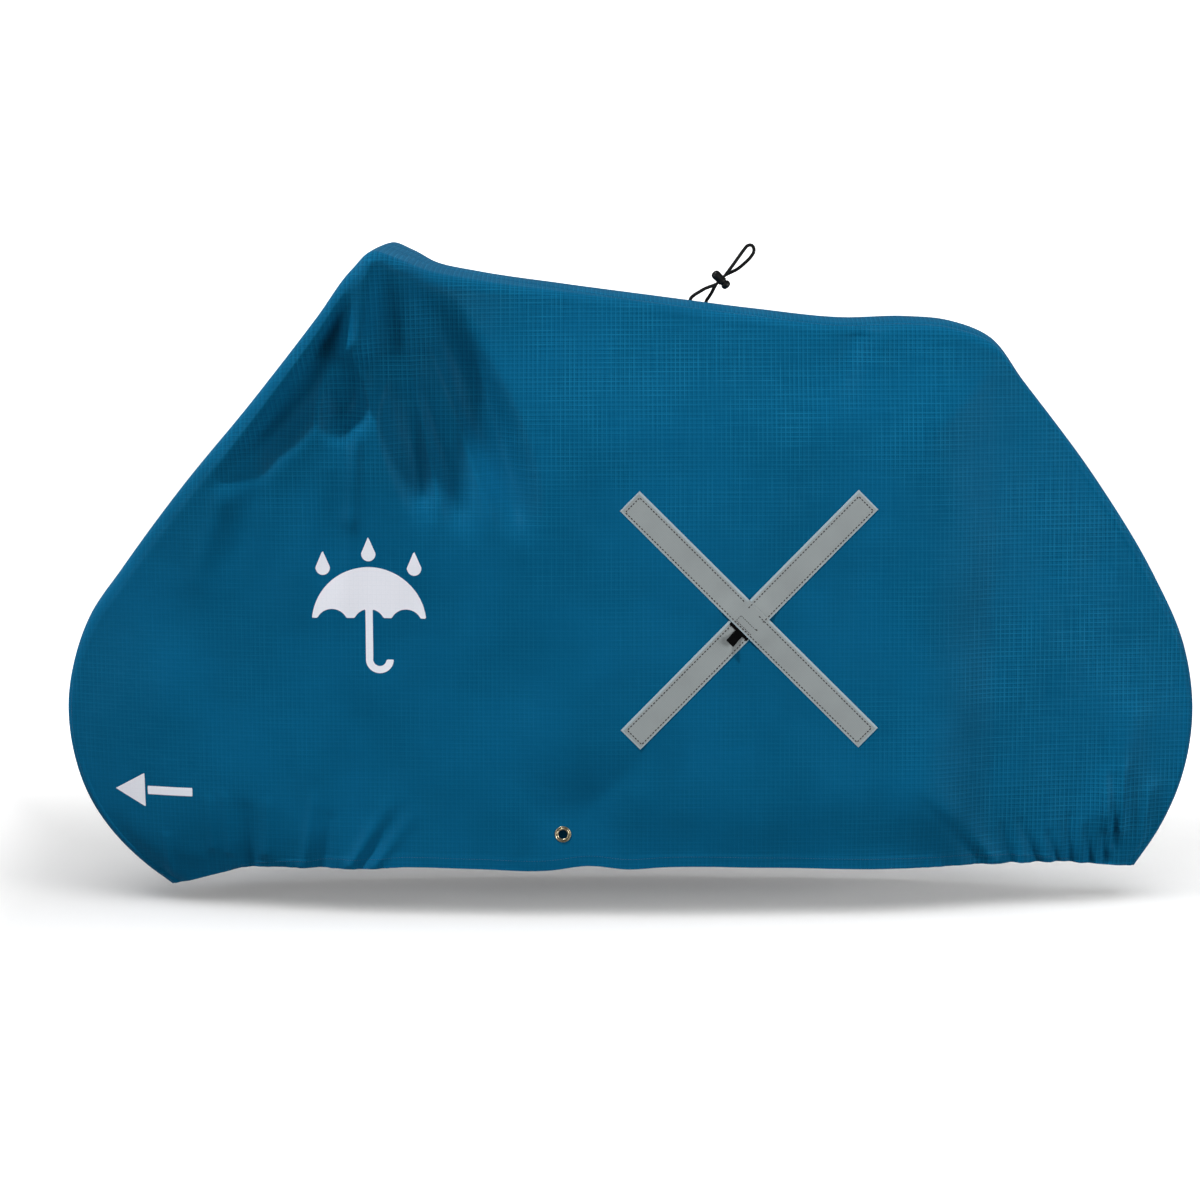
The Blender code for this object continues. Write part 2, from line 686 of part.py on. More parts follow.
def main():
    for thing in list(bpy.data.objects):
        bpy.data.objects.remove(thing)
    build_cloth(material("Blue ripstop polyester", (0.003, 0.092, 0.190), 0.45))
    build_cross(
        material("Grey reflective tape", (0.27, 0.28, 0.29), 0.5),
        material("Black webbing", (0.004, 0.004, 0.004), 0.8),
    )
    build_eyelet(material("Antique brass", (0.42, 0.33, 0.15), 0.3, 1.0))
    build_cord(material("Black elastic cord", (0.004, 0.004, 0.005), 0.75))
    build_lock(material("Black plastic", (0.012, 0.012, 0.013), 0.4))


main()
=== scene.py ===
"""The finished look of the fitted cover: its cloth, tape, print, eyelet, cord and lock.

The cloth is built again at a finer grain on the shape of its solids, with its folds,
gathers and sewn hem. +X runs to the rear, the near side looks to -Y and +Z is up.
"""

import math
from collections import namedtuple

import bmesh
import bpy
import numpy as np
from mathutils import Matrix, Vector
from mathutils.bvhtree import BVHTree

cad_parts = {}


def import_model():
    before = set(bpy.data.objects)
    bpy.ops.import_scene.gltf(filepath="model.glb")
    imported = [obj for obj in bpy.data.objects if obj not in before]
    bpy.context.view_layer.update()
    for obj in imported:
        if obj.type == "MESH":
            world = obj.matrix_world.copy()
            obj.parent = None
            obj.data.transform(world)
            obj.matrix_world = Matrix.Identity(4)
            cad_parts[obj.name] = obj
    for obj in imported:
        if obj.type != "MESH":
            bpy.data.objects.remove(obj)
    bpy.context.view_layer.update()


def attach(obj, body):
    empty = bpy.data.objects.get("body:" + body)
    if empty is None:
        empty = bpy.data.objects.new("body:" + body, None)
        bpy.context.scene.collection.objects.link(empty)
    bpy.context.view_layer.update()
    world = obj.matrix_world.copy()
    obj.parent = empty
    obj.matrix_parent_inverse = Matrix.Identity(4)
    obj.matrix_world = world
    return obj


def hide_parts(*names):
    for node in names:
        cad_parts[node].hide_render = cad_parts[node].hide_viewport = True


COVER = "cover"
BUTTON = "cord_lock_button"

# The camera and the ground. Heights are above the ground, as in the part's source.
HELD_HEIGHT = 1.144  # of the origin
VIEW_TARGET = (0.371, 0.0, 0.529)
VIEW_DISTANCE = 6.0
VIEW_ELEVATION = 7.5
VIEW_WIDTH = 2.1  # seen at the target
SENSOR = 36.0

CLOTH = 0.0009  # thickness
SEAM_GROOVE, GROOVE_WIDTH = 0.0011, 0.0024  # how the cloth dips into its seams
SEAM_GAP = 0.0004
SEAM_STITCH, HEM_STITCH = 0.0045, 0.0035  # from the seam, and from the casing's edge
THREAD = (0.0006, 0.00035)  # width of the blue thread, and its height over the cloth
HEM_BAND = 0.021  # width of the hem's casing
HEM_RAISE, HEM_SLOPE = 0.0007, 0.0016  # how the casing stands out, and over what length

TAPE = 0.0008  # thickness
TAPE_LIFT = 0.0003  # off the cloth
TAPE_WIDTH = 0.0475
ARM = 0.288  # from the crossing to the end of each tape
RAMP = (0.031, 0.060)  # where the long tape comes down from the crossing
HIDDEN = 0.006  # where the lower tape ends, short of the middle of the crossing
CALM = (0.006, 0.09)  # the cloth is even up to the first from a tape, uneven from the last
WIDE_HIGHLIGHT, NARROW_HIGHLIGHT = 0.0042, 0.0021  # painted highlight: the pale bands along the edges that face up and down
WIDE_MARGIN, NARROW_MARGIN = 0.0080, 0.0047  # of the stitching from those edges

# The grain of the cloth: finer where it turns and toward its hem.
COLUMNS, PANEL_ROWS, GUSSET_ROWS = 430, 104, 16
TURN_WEIGHT = 0.10
HEM_WEIGHT = 1.4
HEM_REACH = 0.08
FOLD_START = 0.035  # how soon below the seam the folds reach their height


# The shape of the cloth, as in the part's source

Section = namedtuple(
    "Section", "x height hem_x crown crest shoulder upper middle lower hem seam"
)
SECTIONS = [Section(*row) for row in (
    (-0.384, 0.030, -0.255, 0.002, 0.030, 0.045, 0.058, 0.068, 0.078, 0.085, 0.040),
    (-0.436, 0.071, -0.245, 0.002, 0.032, 0.046, 0.062, 0.075, 0.085, 0.092, 0.042),
    (-0.488, 0.125, -0.233, 0.003, 0.034, 0.048, 0.066, 0.082, 0.092, 0.098, 0.044),
    (-0.524, 0.181, -0.215, 0.003, 0.036, 0.050, 0.070, 0.088, 0.098, 0.104, 0.046),
    (-0.555, 0.275, -0.188, 0.004, 0.038, 0.054, 0.078, 0.098, 0.108, 0.112, 0.050),
    (-0.560, 0.360, -0.165, 0.004, 0.040, 0.060, 0.088, 0.108, 0.116, 0.120, 0.054),
    (-0.546, 0.435, -0.145, 0.004, 0.042, 0.070, 0.098, 0.116, 0.123, 0.126, 0.058),
    (-0.519, 0.505, -0.125, 0.004, 0.044, 0.084, 0.108, 0.124, 0.130, 0.131, 0.062),
    (-0.460, 0.590, -0.110, 0.004, 0.046, 0.110, 0.122, 0.132, 0.136, 0.136, 0.066),
    (-0.350, 0.735, -0.090, 0.004, 0.048, 0.158, 0.145, 0.144, 0.143, 0.141, 0.070),
    (-0.217, 0.893, -0.068, 0.004, 0.048, 0.210, 0.168, 0.155, 0.150, 0.146, 0.072),
    (-0.100, 1.038, -0.042, 0.003, 0.044, 0.252, 0.190, 0.165, 0.156, 0.150, 0.074),
    (-0.038, 1.118, -0.018, 0.002, 0.036, 0.274, 0.205, 0.171, 0.160, 0.154, 0.075),
    (-0.004, 1.147, 0.012, 0.002, 0.032, 0.282, 0.214, 0.175, 0.162, 0.156, 0.075),
    (0.034, 1.137, 0.040, 0.004, 0.036, 0.266, 0.210, 0.178, 0.165, 0.159, 0.075),
    (0.080, 1.118, 0.078, 0.006, 0.044, 0.212, 0.194, 0.180, 0.169, 0.163, 0.074),
    (0.160, 1.102, 0.150, 0.008, 0.044, 0.150, 0.176, 0.180, 0.173, 0.167, 0.073),
    (0.300, 1.082, 0.290, 0.009, 0.038, 0.110, 0.158, 0.176, 0.176, 0.171, 0.071),
    (0.460, 1.061, 0.450, 0.009, 0.034, 0.094, 0.145, 0.172, 0.178, 0.173, 0.069),
    (0.640, 1.038, 0.630, 0.009, 0.032, 0.086, 0.136, 0.164, 0.173, 0.169, 0.067),
    (0.790, 1.023, 0.770, 0.010, 0.030, 0.081, 0.124, 0.151, 0.161, 0.159, 0.065),
    (0.900, 1.025, 0.865, 0.010, 0.030, 0.086, 0.114, 0.138, 0.149, 0.148, 0.064),
    (0.974, 1.018, 0.915, 0.010, 0.030, 0.086, 0.107, 0.129, 0.141, 0.141, 0.062),
    (1.045, 0.990, 0.955, 0.008, 0.032, 0.078, 0.096, 0.117, 0.130, 0.131, 0.056),
    (1.102, 0.917, 0.985, 0.004, 0.033, 0.068, 0.086, 0.105, 0.118, 0.121, 0.050),
    (1.237, 0.738, 1.040, 0.003, 0.033, 0.057, 0.073, 0.091, 0.102, 0.106, 0.046),
    (1.336, 0.578, 1.080, 0.003, 0.033, 0.053, 0.066, 0.081, 0.092, 0.096, 0.044),
    (1.391, 0.456, 1.110, 0.003, 0.033, 0.051, 0.062, 0.075, 0.085, 0.090, 0.043),
    (1.409, 0.335, 1.135, 0.003, 0.033, 0.050, 0.060, 0.072, 0.080, 0.084, 0.042),
    (1.392, 0.218, 1.155, 0.003, 0.032, 0.048, 0.056, 0.066, 0.074, 0.078, 0.041),
    (1.354, 0.128, 1.172, 0.002, 0.030, 0.045, 0.052, 0.060, 0.068, 0.072, 0.040),
    (1.313, 0.063, 1.190, 0.002, 0.028, 0.042, 0.048, 0.055, 0.062, 0.066, 0.038),
)]

HEM_LINE = [  # x and height
    (-0.384, 0.030), (-0.315, 0.053), (-0.255, 0.070), (-0.146, 0.079),
    (-0.040, 0.081), (0.043, 0.086), (0.150, 0.085), (0.285, 0.083),
    (0.350, 0.091), (0.420, 0.085), (0.480, 0.089), (0.646, 0.087),
    (0.876, 0.081), (1.050, 0.080), (1.190, 0.076), (1.313, 0.063),
]

# Folds of a side, each from one point to another, as x and height: how far its
# slopes reach and how far it stands out at each end, and how round its crest is
# (2 is round, nearer 1 is sharper).
Fold = namedtuple("Fold", "x1 height1 x2 height2 reach1 reach2 rise1 rise2 round")
NEAR_FOLDS = [Fold(*row) for row in (
    # the ridge under the wide front shoulder
    (-0.006, 1.126, -0.030, 0.985, 0.018, 0.022, 0.026, 0.056, 1.8),
    # ridges and valleys that leave the hollow
    (-0.037, 0.843, -0.051, 0.691, 0.011, 0.014, 0.010, 0.006, 1.5),
    (-0.052, 0.689, -0.053, 0.553, 0.014, 0.020, 0.006, 0.001, 1.6),
    (-0.200, 0.774, -0.253, 0.621, 0.022, 0.028, -0.006, -0.004, 1.8),
    (-0.271, 0.720, -0.318, 0.583, 0.018, 0.024, 0.007, 0.004, 1.7),
    (-0.085, 0.774, -0.155, 0.553, 0.026, 0.036, 0.005, 0.003, 1.8),
    (0.100, 1.024, 0.226, 0.712, 0.028, 0.034, -0.010, -0.014, 1.8),
    (0.076, 0.894, 0.128, 0.705, 0.018, 0.020, -0.008, -0.010, 1.7),
    (0.042, 0.894, 0.070, 0.732, 0.016, 0.018, -0.007, -0.010, 1.7),
    # slack in the middle of the front
    (-0.080, 0.455, -0.125, 0.150, 0.035, 0.045, 0.001, 0.004, 2.0),
    (-0.400, 0.520, -0.440, 0.330, 0.045, 0.050, -0.003, -0.002, 2.0),
    # streaks above the front hem
    (-0.305, 0.196, -0.299, 0.108, 0.008, 0.009, 0.0024, 0.0066, 1.5),
    (-0.278, 0.202, -0.269, 0.102, 0.008, 0.009, 0.0024, 0.0070, 1.5),
    (-0.239, 0.179, -0.233, 0.081, 0.013, 0.014, -0.0024, -0.0114, 1.7),
    (-0.201, 0.190, -0.205, 0.102, 0.008, 0.010, 0.0024, 0.0055, 1.6),
    (-0.122, 0.202, -0.141, 0.083, 0.009, 0.010, 0.0024, 0.0104, 1.5),
    (-0.092, 0.171, -0.108, 0.083, 0.012, 0.013, -0.0024, -0.0114, 1.7),
    (0.004, 0.190, -0.059, 0.088, 0.010, 0.011, 0.0024, 0.0094, 1.5),
    (0.028, 0.183, -0.038, 0.088, 0.008, 0.009, -0.0024, -0.0073, 1.6),
    (0.052, 0.176, -0.018, 0.088, 0.009, 0.010, 0.0024, 0.0073, 1.6),
    (-0.385, 0.125, -0.379, 0.047, 0.007, 0.008, 0.0024, 0.0062, 1.6),
    # under the rear hump and down the rear edge
    (0.812, 0.990, 0.764, 0.890, 0.024, 0.026, -0.0090, -0.0036, 1.8),
    (0.850, 0.985, 0.822, 0.880, 0.026, 0.030, 0.0072, 0.0018, 1.8),
    (1.300, 0.330, 1.262, 0.170, 0.034, 0.026, 0.0060, 0.0102, 1.8),
    # slack and puckers above the rear hem
    (0.891, 0.247, 1.028, 0.086, 0.012, 0.010, -0.0030, -0.0105, 1.6),
    (0.931, 0.244, 1.057, 0.086, 0.018, 0.012, 0.0015, 0.0068, 1.8),
    (1.070, 0.147, 1.087, 0.080, 0.008, 0.009, -0.0024, -0.0122, 1.6),
    (1.102, 0.152, 1.135, 0.078, 0.009, 0.009, -0.0024, -0.0149, 1.6),
    (1.152, 0.129, 1.171, 0.076, 0.007, 0.008, -0.0024, -0.0122, 1.6),
    (1.188, 0.157, 1.193, 0.079, 0.009, 0.009, -0.0024, -0.0149, 1.7),
    (1.220, 0.138, 1.228, 0.077, 0.008, 0.008, -0.0024, -0.0149, 1.7),
    (1.249, 0.127, 1.255, 0.081, 0.007, 0.008, -0.0048, -0.0136, 1.7),
    (1.247, 0.233, 1.256, 0.134, 0.010, 0.009, 0.0048, 0.0122, 1.5),
    (1.265, 0.226, 1.271, 0.106, 0.008, 0.008, -0.0024, -0.0109, 1.6),
    (1.283, 0.242, 1.280, 0.132, 0.010, 0.009, 0.0048, 0.0136, 1.5),
    (1.333, 0.204, 1.314, 0.098, 0.012, 0.012, 0.0045, 0.0068, 1.7),
)]
FAR_FOLDS = [Fold(*row) for row in (
    (-0.040, 1.080, -0.075, 0.930, 0.022, 0.030, 0.012, 0.008, 1.6),
    (-0.030, 1.000, -0.230, 0.720, 0.042, 0.050, -0.014, -0.010, 2.0),
    (0.030, 1.050, 0.040, 0.870, 0.038, 0.050, -0.013, -0.010, 2.0),
    (0.010, 0.860, -0.030, 0.620, 0.018, 0.032, 0.009, 0.002, 1.6),
    (-0.080, 0.840, -0.300, 0.560, 0.028, 0.045, 0.008, 0.004, 1.8),
    (0.150, 1.000, 0.270, 0.720, 0.028, 0.034, 0.010, 0.004, 1.7),
    (0.110, 0.850, 0.170, 0.690, 0.022, 0.026, -0.007, -0.003, 1.8),
    (0.870, 0.960, 0.820, 0.860, 0.026, 0.030, -0.005, -0.002, 1.8),
    (0.980, 0.250, 1.060, 0.115, 0.018, 0.015, -0.001, -0.0055, 1.6),
    (0.300, 0.300, 0.330, 0.110, 0.020, 0.016, 0.001, 0.0045, 1.7),
    (0.560, 0.260, 0.545, 0.110, 0.018, 0.016, 0.001, -0.0040, 1.7),
)]

# Gathers where elastic draws the hem in: wide waves, and fine puckers on them.
Gather = namedtuple("Gather", "start end pitch depth reach")
GATHERS = [
    Gather(-0.345, 0.080, 0.058, 0.0010, 0.040),
    Gather(0.880, 1.285, 0.052, 0.0010, 0.040),
    Gather(-0.335, 0.060, 0.0190, 0.0010, 0.020),
    Gather(0.890, 1.280, 0.0180, 0.0010, 0.020),
]

# Hollows of the near side: where the middle is, half the length and half the width,
# how far it is turned from upright toward the rear, and its depth.
Hollow = namedtuple("Hollow", "x height long wide turn depth")
HOLLOW_START = 0.035  # how soon below the edge of the top they reach their depth
HOLLOWS = [
    Hollow(0.004, 0.985, 0.130, 0.064, -2, 0.038),
    Hollow(-0.150, 0.910, 0.205, 0.072, -39, 0.044),
    Hollow(-0.062, 0.906, 0.084, 0.056, -3, 0.042),
    Hollow(0.042, 0.876, 0.188, 0.050, 10, 0.036),
    Hollow(0.098, 0.872, 0.216, 0.056, 17, 0.036),
    Hollow(0.159, 0.876, 0.241, 0.064, 25, 0.042),
]

Flat = namedtuple("Flat", "x height half_x half_height blend out grow_x grow_height")
TAPE_FLAT = Flat(0.6255, 0.5165, 0.27, 0.27, 0.16, 0.1640, -0.060, -0.060)
EYELET_FLAT = Flat(0.3075, 0.1465, 0.020, 0.020, 0.150, 0.1725, 0.0, 0.0)
EYELET_CUT = 0.0104  # the radius within which the cloth is open behind the eyelet


def smooth(stops, values, places):
    """Reads a smooth curve through the values at the stops."""
    stops, values = np.asarray(stops, float), np.asarray(values, float)
    slopes = np.gradient(values, stops)
    i = np.clip(np.searchsorted(stops, places, side="right") - 1, 0, len(stops) - 2)
    width = stops[i + 1] - stops[i]
    t = (places - stops[i]) / width
    return (
        (2 * t**3 - 3 * t**2 + 1) * values[i]
        + (t**3 - 2 * t**2 + t) * width * slopes[i]
        + (3 * t**2 - 2 * t**3) * values[i + 1]
        + (t**3 - t**2) * width * slopes[i + 1]
    )


def ease(value, low, high):
    """0 below low, 1 above high, and a smooth step between."""
    t = np.clip((value - low) / (high - low), 0, 1)
    return t * t * (3 - 2 * t)


def lengths_along(points):
    steps = np.linalg.norm(np.diff(points, axis=0), axis=1)
    return np.concatenate([[0.0], np.cumsum(steps)])


CREST_SHARE = 0.6  # the cloth turns more tightly over its edges than its solid
RIDGE_STOPS = lengths_along(np.array([(s.x, s.height) for s in SECTIONS]))


def hem_at(x):
    hem_x, hem_height = zip(*HEM_LINE)
    return smooth(hem_x, hem_height, np.clip(x, hem_x[0], hem_x[-1]))


def far_hem_at(x):
    """The far hem hangs a little lower behind the eyelet."""
    return hem_at(x) - 0.018 * np.exp(-(((x - 0.31) / 0.11) ** 2))


def section_at(place):
    columns = zip(*SECTIONS)
    section = Section(*(float(smooth(RIDGE_STOPS, column, place)) for column in columns))
    return section._replace(crest=CREST_SHARE * section.crest)


def half_profile(section, depth):
    """Half-width and depth below the ridge of one half of a section, finely."""
    edge = section.shoulder - section.crest
    top = np.linspace(0, 1, 24)
    angles = np.linspace(0, math.pi / 2, 25)[1:]
    side_start = section.crown + section.crest
    stops = [side_start, 0.25 * depth, 0.5 * depth, 0.75 * depth, depth]
    widths = [section.shoulder, section.upper, section.middle, section.lower, section.hem]
    side = np.linspace(side_start, depth, 160)[1:]
    across = [edge * top, edge + section.crest * np.sin(angles), smooth(stops, widths, side)]
    crest = section.crown + section.crest * (1 - np.cos(angles))
    down = [section.crown * top**2, crest, side]
    return np.column_stack([np.concatenate(across), np.concatenate(down)])


def resample(profile, first, last, count):
    """Splits a profile between two lengths, more finely where it turns and at its hem."""
    length = lengths_along(profile)
    fine = np.linspace(first, last, 500)
    points = np.column_stack([np.interp(fine, length, axis) for axis in profile.T])
    steps = np.diff(points, axis=0)
    heading = np.unwrap(np.arctan2(steps[:, 1], steps[:, 0]))
    turn = np.abs(np.diff(heading, prepend=heading[0]))
    turn = np.convolve(turn, np.ones(15) / 15, "same")
    step = np.linalg.norm(steps, axis=1)
    to_end = length[-1] - fine[1:]
    extra = HEM_WEIGHT * np.exp(-to_end / HEM_REACH) + 3.0 * (to_end < 1.3 * HEM_BAND)
    extra = extra + 2.0 * (fine[1:] - first < 0.012) * (first > 0)
    total = np.concatenate([[0.0], np.cumsum(step * (1 + extra) + TURN_WEIGHT * turn)])
    at = np.interp(np.linspace(0, total[-1], count + 1), total, fine)
    return np.column_stack([np.interp(at, fine, axis) for axis in points.T]), at


def fold_height(x, height, folds):
    """How far the folds push the side out at each point of it."""
    rise = 0 * x
    for fold in folds:
        run_x, run_h = fold.x2 - fold.x1, fold.height2 - fold.height1
        along = (x - fold.x1) * run_x + (height - fold.height1) * run_h
        t = along / (run_x**2 + run_h**2)
        inside = np.clip(t, 0, 1)
        away = np.hypot(x - fold.x1 - inside * run_x, height - fold.height1 - inside * run_h)
        share = ease(t, -0.25, 1.25)
        reach = fold.reach1 + (fold.reach2 - fold.reach1) * share
        peak = fold.rise1 + (fold.rise2 - fold.rise1) * share
        rise = rise + peak * np.exp(-((away**2 + 0.06 * reach**2) / reach**2) ** (fold.round / 2))
    return rise


def hollow_depth(x, height):
    """How far the hollows draw the near side in."""
    depth = 0 * x
    for hollow in HOLLOWS:
        turn = math.radians(hollow.turn)
        run, up = x - hollow.x, height - hollow.height
        along = up * math.cos(turn) - run * math.sin(turn)
        across = run * math.cos(turn) + up * math.sin(turn)
        away = np.hypot(along / hollow.long, across / hollow.wide)
        depth = np.maximum(depth, hollow.depth * (1 - ease(away, 0.25, 1.15)))
    return depth


def gather_height(x, height, shift):
    """Waves that fade above the hem."""
    above = np.maximum(height - hem_at(x), 0)
    rise = 0 * x
    for gather in GATHERS:
        inside = ease(x, gather.start, gather.start + 0.03)
        inside = inside * (1 - ease(x, gather.end - 0.06, gather.end))
        beat = 2 * math.pi * (x + shift) / gather.pitch
        wave = np.sin(beat + 0.8 * np.sin(0.37 * beat)) * (0.8 + 0.35 * np.sin(0.23 * beat + 1))
        rise = rise + gather.depth * wave * inside * np.exp(-above / gather.reach)
    return rise


def slack(x, height, seed):
    """Soft unevenness of hanging cloth: long waves, steeper than they are wide."""
    random = np.random.default_rng(seed)
    rise = 0 * x
    for wavelength, depth in ((0.42, 0.0015), (0.27, 0.0011), (0.16, 0.0007), (0.09, 0.0003)):
        for _ in range(4):
            angle = random.normal(0, 0.55)
            beat = 2 * math.pi / (wavelength * random.uniform(0.8, 1.25))
            phase = random.uniform(0, 2 * math.pi)
            wave = np.sin(beat * (x * math.cos(angle) + height * math.sin(angle)) + phase)
            rise = rise + 0.5 * depth * wave
    return rise


def flatten(flat, x, height, width):
    """Draws the half-widths onto a flat part of the side."""
    edge = np.maximum(
        (abs(x - flat.x) - flat.half_x) / flat.blend,
        (abs(height - flat.height) - flat.half_height) / flat.blend,
    )
    share = 1 - ease(edge, 0, 1)
    level = flat.out + flat.grow_x * (x - flat.x) + flat.grow_height * (height - flat.height)
    return width * (1 - share) + level * share


def off_the_tapes(x, height):
    """0 under the tape cross and 1 well away from it."""
    u = (x - TAPE_FLAT.x + height - TAPE_FLAT.height) / math.sqrt(2)
    v = (x - TAPE_FLAT.x - height + TAPE_FLAT.height) / math.sqrt(2)
    beyond = np.maximum(np.maximum(abs(u), abs(v)) - ARM, 0)
    away = np.hypot(np.minimum(abs(u), abs(v)), beyond)
    return ease(away, TAPE_WIDTH / 2 + CALM[0], TAPE_WIDTH / 2 + CALM[1])


def half_column(place, side):
    """Points of one half of a section from the ridge to the hem, their places in the
    weave and the depth of the seam's groove at each."""
    section = section_at(place)
    ridge = np.array([section.x, section.height])
    hem_line = hem_at if side < 0 else far_hem_at
    hem = np.array([section.hem_x, float(hem_line(section.hem_x))])
    depth = float(np.linalg.norm(hem - ridge))
    profile = half_profile(section, depth)
    end = lengths_along(profile)[-1]
    top, top_at = resample(profile, 0.0, section.seam, GUSSET_ROWS // 2)
    rest, rest_at = resample(profile, section.seam, end, PANEL_ROWS)
    spots, at = np.vstack([top, rest[1:]]), np.concatenate([top_at, rest_at[1:]])
    x, height = (ridge + (hem - ridge) * spots[:, 1:] / depth).T
    folds = NEAR_FOLDS if side < 0 else FAR_FOLDS
    started = ease(at - section.seam, 0, FOLD_START)
    width = spots[:, 0] + fold_height(x, height, folds) * started
    width = width + gather_height(x, height, 0.0 if side < 0 else 0.045) * started
    loose = slack(x, height, 11 if side < 0 else 23) * started
    if side < 0:
        below = spots[:, 1] - section.crown - section.crest
        width = width - hollow_depth(x, height) * ease(below, 0, HOLLOW_START)
        width = flatten(TAPE_FLAT, x, height, width) + loose * off_the_tapes(x, height)
        width = flatten(EYELET_FLAT, x, height, width)
    else:
        width = width + loose
    to_hem = end - at
    width = width + HEM_RAISE * (1 - ease(to_hem, HEM_BAND - HEM_SLOPE, HEM_BAND + HEM_SLOPE))
    groove = SEAM_GROOVE * np.exp(-(((at - section.seam) / GROOVE_WIDTH) ** 2))
    points = np.column_stack([x, side * width, height - HELD_HEIGHT])
    travel, drop_by = np.abs(np.diff(spots, axis=0, append=spots[-1:])).T
    travel = travel * ease(travel / (drop_by + 1e-6), 0.3, 1.0)
    up = height + np.cumsum(travel[::-1])[::-1] * 0.9
    weave = np.column_stack([x, up])
    return points, weave, groove


def ridge_places():
    """Lengths along the ridge, one for each column, closer round the peaks."""
    fine = np.linspace(0, RIDGE_STOPS[-1], 3000)
    xs, heights, hem_xs = (
        smooth(RIDGE_STOPS, column, fine) for column in list(zip(*SECTIONS))[:3]
    )
    heading = np.unwrap(np.arctan2(np.gradient(heights), np.gradient(xs)))
    weight = fine[1] + 0.03 * np.abs(np.gradient(heading)) + 1.6 * np.abs(np.gradient(hem_xs))
    total = np.cumsum(weight) - weight[0]
    return np.interp(np.linspace(0, total[-1], COLUMNS + 1), total, fine)


def skin():
    """The outer face as columns from the far hem over the top to the near hem: its
    points, its normals and the place of each point in the weave, in metres."""
    columns = []
    for place in ridge_places():
        halves = zip(half_column(place, 1), half_column(place, -1))
        columns.append([np.concatenate([far[:0:-1], near]) for far, near in halves])
    points, weave, grooves = map(np.array, zip(*columns))
    along, across = np.gradient(points, axis=0), np.gradient(points, axis=1)
    normals = np.cross(across, along)
    normals /= np.linalg.norm(normals, axis=2, keepdims=True)
    return points - grooves[:, :, None] * normals, normals, weave


# Meshes


def add_object(name, mesh, material):
    piece = bpy.data.objects.new(name, mesh)
    bpy.context.scene.collection.objects.link(piece)
    mesh.materials.append(material)
    return piece


def claim(piece, slot, *nodes, body=COVER):
    """Gives a piece its body and hides the solids that it stands for. slot is not used."""
    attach(piece, body)
    if nodes:
        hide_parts(*nodes)
    return piece


def mesh_of(name, points, faces, uvs=None, sharp=None):
    """A smooth mesh from arrays, with one UV for each point where given."""
    mesh = bpy.data.meshes.new(name)
    mesh.from_pydata([tuple(p) for p in points], [], [tuple(f) for f in faces])
    mesh.shade_smooth()
    if sharp is not None:
        mesh.set_sharp_from_angle(angle=math.radians(sharp))
    if uvs is not None:
        layer = mesh.uv_layers.new(name="weave")
        corners = np.empty(len(mesh.loops), np.int32)
        mesh.loops.foreach_get("vertex_index", corners)
        layer.data.foreach_set("uv", np.asarray(uvs, np.float32)[corners].ravel())
    return mesh


def grid_faces(columns, rows):
    """Quads of a grid of columns x rows points, as an array of four corners each."""
    index = np.arange(columns * rows).reshape(columns, rows)
    corners = (index[:-1, :-1], index[:-1, 1:], index[1:, 1:], index[1:, :-1])
    return np.stack(corners, axis=-1)


def sheet_mesh(name, front, back, cells, uvs, sharp):
    """A closed sheet between two grids of points. cells are the quads of the front that
    stay, and the rim runs round all of them."""
    count = front.shape[0] * front.shape[1]
    both = set(map(tuple, np.concatenate([cells[:, [i, (i + 1) % 4]] for i in range(4)])))
    rim = [(b, a, a + count, b + count) for a, b in both if (b, a) not in both]
    faces = np.concatenate([cells, cells[:, ::-1] + count, np.array(rim)])
    used = np.unique(faces)
    place = np.full(2 * count, -1)
    place[used] = np.arange(len(used))
    points = np.concatenate([front.reshape(-1, 3), back.reshape(-1, 3)])
    uvs = np.concatenate([uvs.reshape(-1, 2)] * 2)
    return mesh_of(name, points[used], place[faces], uvs[used], sharp)


def add_cloth(name, points, normals, weave, material, *nodes, keep=None):
    """A part of the cloth, CLOTH thick. keep marks the cells that stay."""
    cells = grid_faces(*points.shape[:2])
    cells = cells.reshape(-1, 4) if keep is None else cells[keep]
    mesh = sheet_mesh(name, points, points - CLOTH * normals, cells, weave, 55)
    return claim(add_object(name, mesh, material), "ripstop", *nodes)


def drawn_back(points, row, inward):
    """The points with one row drawn back from the seam by half its gap."""
    step = points[:, inward] - points[:, row]
    moved = points.copy()
    moved[:, row] += step / np.linalg.norm(step, axis=1, keepdims=True) * SEAM_GAP / 2
    return moved


def faced_out(bm, mesh, sharp):
    """Turns every face outward and puts them in the mesh, smooth up to an angle."""
    bmesh.ops.recalc_face_normals(bm, faces=bm.faces)
    bm.to_mesh(mesh)
    bm.free()
    mesh.shade_smooth()
    mesh.set_sharp_from_angle(angle=math.radians(sharp))
    return mesh


